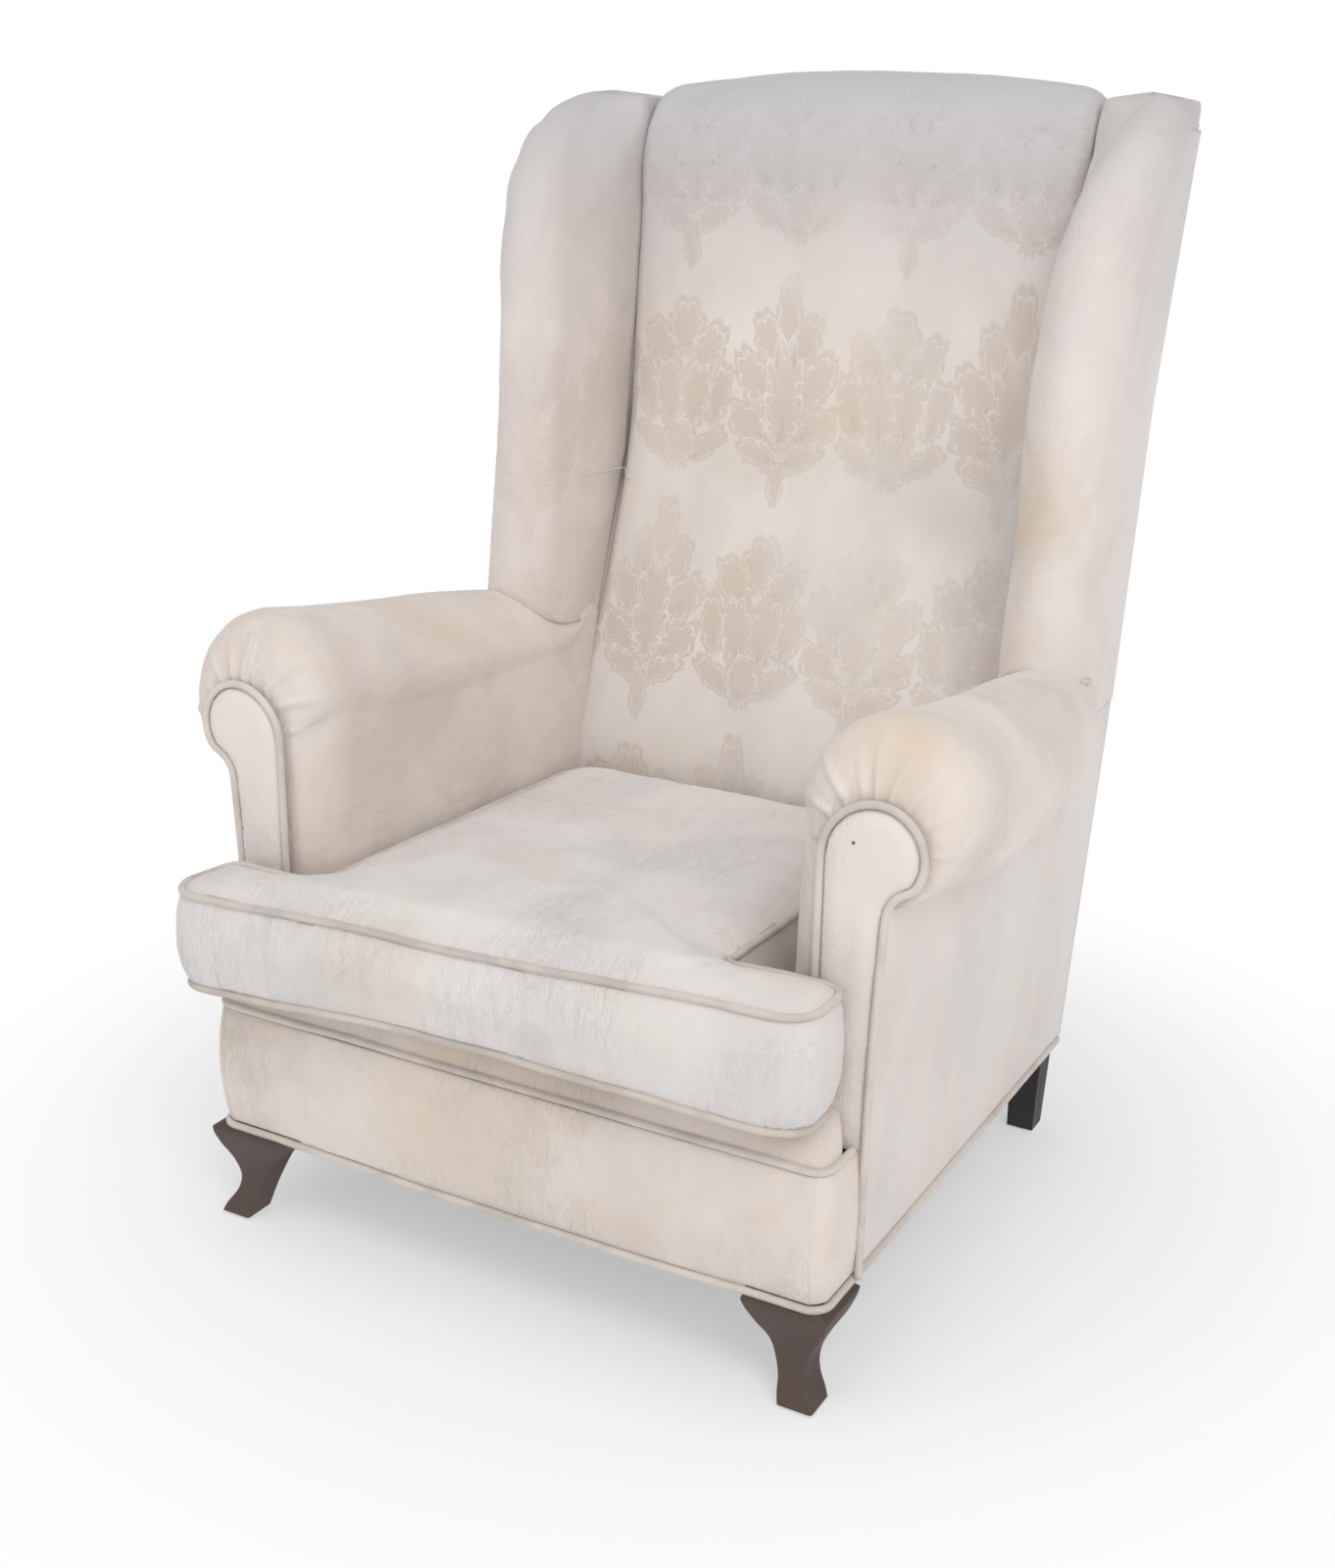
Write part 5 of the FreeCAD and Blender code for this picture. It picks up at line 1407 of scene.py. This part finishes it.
class CHAIR_OT_base(bpy.types.Operator):
    """Build the front border, the seat deck and the piping of the base"""

    bl_idname = "chair.base"
    bl_label = "Base"

    def execute(self, context):
        sizes = context.scene.chair_sizes
        mat = finish("damask_border", context)
        cord_mat = finish("piping", context)
        piece(border_pad(), "chair", mat, ["front_border"])
        piece(deck_pad(), "chair", mat, ["seat_deck"])
        piece(border_cord(sizes), "chair", cord_mat, ["border_piping"])
        piece(base_cord(sizes), "chair", cord_mat, ["base_piping"])
        return {"FINISHED"}


def outside_arm(full):
    """Outside panel of the right arm, up to the crease under the roll."""
    rows = np.array((
        (BASE_BOTTOM, BASE_HALF, BASE_HALF),
        ((BASE_BOTTOM + SEAM_Z) / 2, 0.340, BASE_HALF + PANEL_SPREAD / 2),
        (NECK_Z, CREASE_X, BASE_HALF + PANEL_SPREAD),
        (SEAM_Z, CREASE_X + 0.002, BASE_HALF + PANEL_SPREAD),
    ))
    tuck = 0.002
    rear_tuck = 0.014
    grid = np.zeros((90, 70, 3))
    crease_y = FACING_Y + ROLL[:, 0] * ARM_LENGTH
    crease_z = ARM_TOP - ROLL[:, 4]
    front = FACING_Y + PIPING
    for i, up in enumerate(np.linspace(0, 1, 90)):
        for j, back in enumerate(np.linspace(0, 1, 70)):
            y = front + back * (REAR_Y + 0.055 - front)
            top = float(np.interp(y, crease_y, crease_z))
            top += rear_tuck * min(1.0, max(0.0, (back - 0.45) / 0.25))
            top = min(top, float(crease_z[-1])) + tuck
            z = BASE_BOTTOM + up * (top - BASE_BOTTOM)
            y = front + back * (rear_y(z) - front)
            x_front = float(np.interp(z, rows[:, 0], rows[:, 1]))
            x_rear = float(np.interp(z, rows[:, 0], rows[:, 2]))
            bulge = full * math.sin(math.pi * back) ** 0.5 * math.sin(math.pi * up) ** 0.5
            grid[i, j] = (x_front + (x_rear - x_front) * back + bulge, y, z)
    return slab("outside_arm_cover_right", grid, (-1, 0, 0), 0.006, grid_cloth(grid))


def outside_wing(full):
    """Outside panel of the right wing, behind its roll."""
    panel_back = 0.062
    zs = np.linspace(SEAM_Z, WING_FOOT_Z + 0.951 * WING_RISE, 100)
    mid_x, mid_y, radius = wing_face(zs)
    grid = np.zeros((len(zs), 30, 3))
    for i, z in enumerate(zs):
        rear = rear_y(z)
        out = mid_x[i] + radius[i]
        step = min(panel_back, 0.5 * (rear - mid_y[i]))
        edge_x = out + (corner_x(z) - out) * step / (rear - mid_y[i])
        for j, back in enumerate(np.linspace(0, 1, 30)):
            bulge = 0.0015 + full * 0.6 * math.sin(math.pi * back) ** 0.5
            x = edge_x + (corner_x(z) - edge_x) * back + bulge
            grid[i, j] = (x, mid_y[i] + step + (rear - mid_y[i] - step) * back, z)
    return slab("outside_wing_cover_right", grid, (-1, 0, 0), PANEL, grid_cloth(grid))


def outside_back(full):
    """Outside panel of the back, up to the roll of the inside back and the wing tops."""
    drop = 0.034
    wing_drop = 0.022
    spread_until = 0.35
    grid = np.zeros((110, 70, 3))
    for j, across in enumerate(np.linspace(-1, 1, 70)):
        for i, up in enumerate(np.linspace(0, 1, 110)):
            half = float(corner_x(np.array(BASE_BOTTOM + up * 0.94)))
            if up < spread_until:
                half = BASE_HALF + PANEL_SPREAD * up / spread_until
            x = across * half
            arch = BACK_TOP - drop - TOP_CROWN * min(1.0, (x / (BACK_SEAM - TOP_CORNER)) ** 2)
            if abs(x) > BACK_SEAM:
                arch = BACK_TOP - drop - wing_drop
            z = BASE_BOTTOM + up * (arch - BASE_BOTTOM)
            bulge = full * math.sin(math.pi * up) ** 0.5 * (1 - across ** 2) ** 0.5
            grid[i, j] = (x, rear_y(z) + bulge, z)
    obj = slab("outside_back_cover", grid, (0, -1, 0), PANEL, grid_cloth(grid))
    obj.data.flip_normals()
    return obj


class CHAIR_OT_outside(bpy.types.Operator):
    """Build the outside panels of the arms, wings and back"""

    bl_idname = "chair.outside"
    bl_label = "Outside panels"

    def execute(self, context):
        full = context.scene.chair_sizes.panel_full
        mat = finish("damask_outside", context)
        for part, build in (("arm", outside_arm), ("wing", outside_wing)):
            right = build(full)
            left = mirror_copy(right, f"outside_{part}_cover_left")
            piece(right, "chair", mat, [f"outside_{part}_right"])
            piece(left, "chair", mat, [f"outside_{part}_left"])
        piece(outside_back(full), "chair", mat, ["outside_back"])
        return {"FINISHED"}


def cushion_cloth(obj):
    """Cloth coordinates of the cushion: flat on top, run along its side."""
    p = coords(obj)
    on_side = np.abs(normals(obj)[:, 2]) < 0.62
    ring = cushion_ring(0.5, 0.0)
    ring = np.roll(ring, len(ring) // 2, axis=0)
    along = np.concatenate([[0], np.cumsum(np.linalg.norm(np.diff(ring, axis=0), axis=1))])
    tree = KDTree(len(ring))
    for k, point in enumerate(ring):
        tree.insert((point[0], point[1], 0.0), k)
    tree.balance()
    u = np.array([along[tree.find((x, y, 0.0))[1]] for x, y, _ in p])
    return np.where(on_side[:, None], np.stack([u, p[:, 2]], axis=1), p[:, :2])


def cushion_cord(tree, name, share, inset, radius):
    """Piping that follows the cushion at a share of its height."""
    path = []
    for point in resample(cushion_ring(share, inset), 520, closed=True):
        hit, normal, _, _ = tree.find_nearest(Vector(point))
        path.append(np.array(hit + normal * radius * 0.55))
    return tube(name, soften(np.array(path), 3, closed=True), radius, closed=True)


class CHAIR_OT_cushion(bpy.types.Operator):
    """Build the seat cushion and its piping"""

    bl_idname = "chair.cushion"
    bl_label = "Cushion"

    def execute(self, context):
        sizes = context.scene.chair_sizes
        mat = finish("damask_cushion", context)
        cord_mat = finish("piping_cushion", context)
        obj = cushion_body()
        simulate(obj, sizes)
        wrinkled(obj, sizes.wrinkle * 1.6, (6.0, 6.0, 6.0), 5.0)
        set_cloth(obj, cushion_cloth(obj))
        piece(obj, "cushion", mat, ["cushion_cover", "cushion_core"])
        tree = BVHTree.FromObject(obj, bpy.context.evaluated_depsgraph_get())
        cords = (("cushion_piping_low", 0.06, 0.012), ("cushion_piping_high", 0.86, 0.008))
        for name, share, inset in cords:
            cord = cushion_cord(tree, name + "_mesh", share, inset, sizes.piping)
            piece(cord, "cushion", cord_mat, [name])
        return {"FINISHED"}


def rounded_square(x0, x1, y0, y1, z, r):
    """Section of a leg with rounded edges, 15 points to a side."""
    d = r * (1 - math.sqrt(0.5))
    return np.vstack([
        line((x0 + r, y0, z), (x1 - r, y0, z), 10),
        arc((x1 - r, y0, z), (x1 - d, y0 + d, z), (x1, y0 + r, z), 5),
        line((x1, y0 + r, z), (x1, y1 - r, z), 10),
        arc((x1, y1 - r, z), (x1 - d, y1 - d, z), (x1 - r, y1, z), 5),
        line((x1 - r, y1, z), (x0 + r, y1, z), 10),
        arc((x0 + r, y1, z), (x0 + d, y1 - d, z), (x0, y1 - r, z), 5),
        line((x0, y1 - r, z), (x0, y0 + r, z), 10),
        arc((x0, y0 + r, z), (x0 + d, y0 + d, z), (x0 + r, y0, z), 5),
    ])


def mark_edges(obj, sections):
    """Say how near each point of a leg is to a worn edge."""
    ring = np.zeros(60)
    for k in range(4):
        ring[15 * k + 8:15 * k + 15] = (0.4, 0.8, 1.0, 1.0, 1.0, 1.0, 1.0)
        ring[(15 * k + 15) % 60] = 0.8
        ring[(15 * k + 16) % 60] = 0.4
    edge = np.concatenate([np.tile(ring, sections), (0.5, 0.5)])
    layer = obj.data.attributes.new("edge", "FLOAT", "POINT")
    layer.data.foreach_set("value", edge.astype(np.float32))


class CHAIR_OT_legs(bpy.types.Operator):
    """Build the front legs"""

    bl_idname = "chair.legs"
    bl_label = "Legs"

    def execute(self, context):
        sizes = context.scene.chair_sizes
        mat = finish("leg_wood", context)
        glide = 0.003
        tucked_from = 0.925
        shares = np.linspace(0, 1, 60)
        rings = []
        for share, (inner, outer, front, rear) in zip(shares, hermite(LEG, shares)):
            if share > tucked_from:
                outer = min(outer, -0.006)
                front = max(front, 0.005)
            z = glide + share * (BASE_BOTTOM - glide)
            rings.append(rounded_square(BASE_HALF + inner, BASE_HALF + outer, FRONT_Y + front,
                                        FRONT_Y + rear, z, sizes.leg_edge))
        rings = np.array(rings)
        right = loft("leg_front_right", rings, grid_cloth(rings))
        mark_edges(right, len(rings))
        left = mirror_copy(right, "leg_front_left")
        piece(right, "chair", mat, ["front_leg_right"])
        piece(left, "chair", mat, ["front_leg_left"])
        return {"FINISHED"}


class CHAIR_OT_hidden(bpy.types.Operator):
    """Give the pieces of the construction that stay their finishes"""

    bl_idname = "chair.hidden"
    bl_label = "Frame finishes"

    def execute(self, context):
        names = {
            "leg_wood": "rear_leg_wood", "frame_beech": "frame_beech", "steel": "steel",
            "glide_nylon": "glide_nylon", "hessian": "hessian", "dust_cloth": "dust_cloth",
            "piping_cord": "piping", "stuffing": "stuffing", "damask": "damask_back",
            "cushion_damask": "damask_cushion",
        }
        slots = {entry["node"]: entry["material_slot"] for entry in frame["record"]["subparts"]}
        for name, node in frame["nodes"].items():
            node.data.materials.clear()
            node.data.materials.append(finish(names[slots[name]], context))
        return {"FINISHED"}


def floor_material():
    """Pale plain floor that fades into the white background away from the chair."""
    mat, g, shader = blank("floor")
    shader.inputs["Base Color"].default_value = (0.90, 0.90, 0.90, 1.0)
    shader.inputs["Roughness"].default_value = 0.9
    shader.inputs["Specular IOR Level"].default_value = 0.1
    glow = g.node("ShaderNodeEmission")
    glow.inputs["Color"].default_value = (1.0, 1.0, 1.0, 1.0)
    length = g.node("ShaderNodeVectorMath", operation="LENGTH")
    g.plug(length.inputs[0], g.node("ShaderNodeTexCoord").outputs["Object"])
    blend = g.node("ShaderNodeMixShader")
    g.plug(blend.inputs[0], g.step(length.outputs["Value"], 0.40, 0.95, 0.45, 1.0))
    g.plug(blend.inputs[1], shader.outputs[0])
    g.plug(blend.inputs[2], glow.outputs[0])
    g.plug(mat.node_tree.nodes["Material Output"].inputs["Surface"], blend.outputs[0])
    return mat


# Camera: turn and height in degrees, roll in radians, place, focal length over the picture's height
VIEW_TURN = 29.156
VIEW_HEIGHT = 18.712
VIEW_ROLL = 0.0143348
VIEW_PLACE = (0.9197, -1.7056, 1.0728)
VIEW_REACH = 1983.9 / 1600.0

# Lamps: name, place, power, size, colour
LAMPS = (
    ("key", (2.1, -1.9, 2.7), 43.0, 1.7, (1.0, 0.99, 0.975)),
    ("fill", (-1.9, -2.6, 1.3), 7.0, 2.0, (1.0, 0.985, 0.97)),
    ("top", (-0.3, -0.9, 3.0), 15.0, 2.0, (0.98, 0.99, 1.0)),
)


def place_camera(scene):
    """Camera that sees the chair from its right front, a little above."""
    turn = math.radians(VIEW_TURN)
    height = math.radians(VIEW_HEIGHT)
    level = math.cos(height)
    forward = Vector((-math.sin(turn) * level, math.cos(turn) * level, -math.sin(height)))
    right = Vector((math.cos(turn), math.sin(turn), 0.0))
    up = right.cross(forward)
    rows = (right * math.cos(VIEW_ROLL) + up * math.sin(VIEW_ROLL),
            -right * math.sin(VIEW_ROLL) + up * math.cos(VIEW_ROLL), -forward)
    data = bpy.data.cameras.new("camera")
    data.sensor_width = 36.0
    data.lens = data.sensor_width * VIEW_REACH
    camera = bpy.data.objects.new("camera", data)
    scene.collection.objects.link(camera)
    for i in range(3):
        for j in range(3):
            camera.matrix_world[j][i] = rows[i][j]
    camera.location = VIEW_PLACE
    scene.camera = camera


def light_world(scene):
    """Soft light all round, white where the camera sees it."""
    world = bpy.data.worlds.new("studio")
    world.use_nodes = True
    g = Graph(world.node_tree)
    soft = world.node_tree.nodes["Background"]
    soft.inputs["Color"].default_value = (0.97, 0.98, 1.0, 1.0)
    soft.inputs["Strength"].default_value = 0.54
    white = g.node("ShaderNodeBackground")
    white.inputs["Color"].default_value = (1.0, 1.0, 1.0, 1.0)
    white.inputs["Strength"].default_value = 1.0
    choose = g.node("ShaderNodeMixShader")
    g.plug(choose.inputs[0], g.node("ShaderNodeLightPath").outputs["Is Camera Ray"])
    g.plug(choose.inputs[1], soft.outputs[0])
    g.plug(choose.inputs[2], white.outputs[0])
    g.plug(world.node_tree.nodes["World Output"].inputs["Surface"], choose.outputs[0])
    scene.world = world


def hang_lamps(scene):
    """Area lamps aimed at the middle of the chair."""
    for name, place, power, spread, tone in LAMPS:
        lamp = bpy.data.lights.new(name, "AREA")
        lamp.energy = power
        lamp.size = spread
        lamp.color = tone
        obj = bpy.data.objects.new(name, lamp)
        scene.collection.objects.link(obj)
        obj.location = place
        aim = Vector((0.0, 0.0, 0.5)) - Vector(place)
        obj.rotation_euler = aim.to_track_quat("-Z", "Y").to_euler()


class CHAIR_OT_stage(bpy.types.Operator):
    """Set the floor, the lights and the camera"""

    bl_idname = "chair.stage"
    bl_label = "Stage"

    def execute(self, context):
        scene = context.scene
        size = 60.0
        corners = [(-size, -size, 0), (size, -size, 0), (size, size, 0), (-size, size, 0)]
        floor = make_mesh("floor", corners, [(0, 1, 2, 3)])
        floor.data.materials.append(floor_material())
        place_camera(scene)
        light_world(scene)
        hang_lamps(scene)
        scene.view_settings.view_transform = "Standard"
        return {"FINISHED"}


class CHAIR_PT_panel(bpy.types.Panel):
    """Sizes and colours of the armchair"""

    bl_idname = "CHAIR_PT_panel"
    bl_label = "Wingback armchair"
    bl_space_type = "VIEW_3D"
    bl_region_type = "UI"
    bl_category = "Chair"

    def draw(self, context):
        layout = self.layout
        for group in (context.scene.chair_sizes, context.scene.chair_colours):
            for name in group.bl_rna.properties.keys():
                if name not in ("rna_type", "name"):
                    layout.prop(group, name)
        for operator in OPERATORS:
            layout.operator(operator.bl_idname)


OPERATORS = (CHAIR_OT_back, CHAIR_OT_wings, CHAIR_OT_arms, CHAIR_OT_facings, CHAIR_OT_trim, CHAIR_OT_base,
             CHAIR_OT_outside, CHAIR_OT_cushion, CHAIR_OT_legs, CHAIR_OT_hidden, CHAIR_OT_stage)
CLASSES = (ChairSizes, ChairColours) + OPERATORS + (CHAIR_PT_panel,)


def register():
    for cls in CLASSES:
        bpy.utils.register_class(cls)
    bpy.types.Scene.chair_sizes = PointerProperty(type=ChairSizes)
    bpy.types.Scene.chair_colours = PointerProperty(type=ChairColours)


def unregister():
    del bpy.types.Scene.chair_colours
    del bpy.types.Scene.chair_sizes
    for cls in reversed(CLASSES):
        bpy.utils.unregister_class(cls)


def main():
    register()
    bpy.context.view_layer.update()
    bpy.ops.chair.hidden()
    bpy.ops.chair.back()
    bpy.ops.chair.wings()
    bpy.ops.chair.arms()
    bpy.ops.chair.facings()
    bpy.ops.chair.trim()
    bpy.ops.chair.base()
    bpy.ops.chair.outside()
    bpy.ops.chair.cushion()
    bpy.ops.chair.legs()
    bpy.ops.chair.stage()


if __name__ == "__main__":
    main()
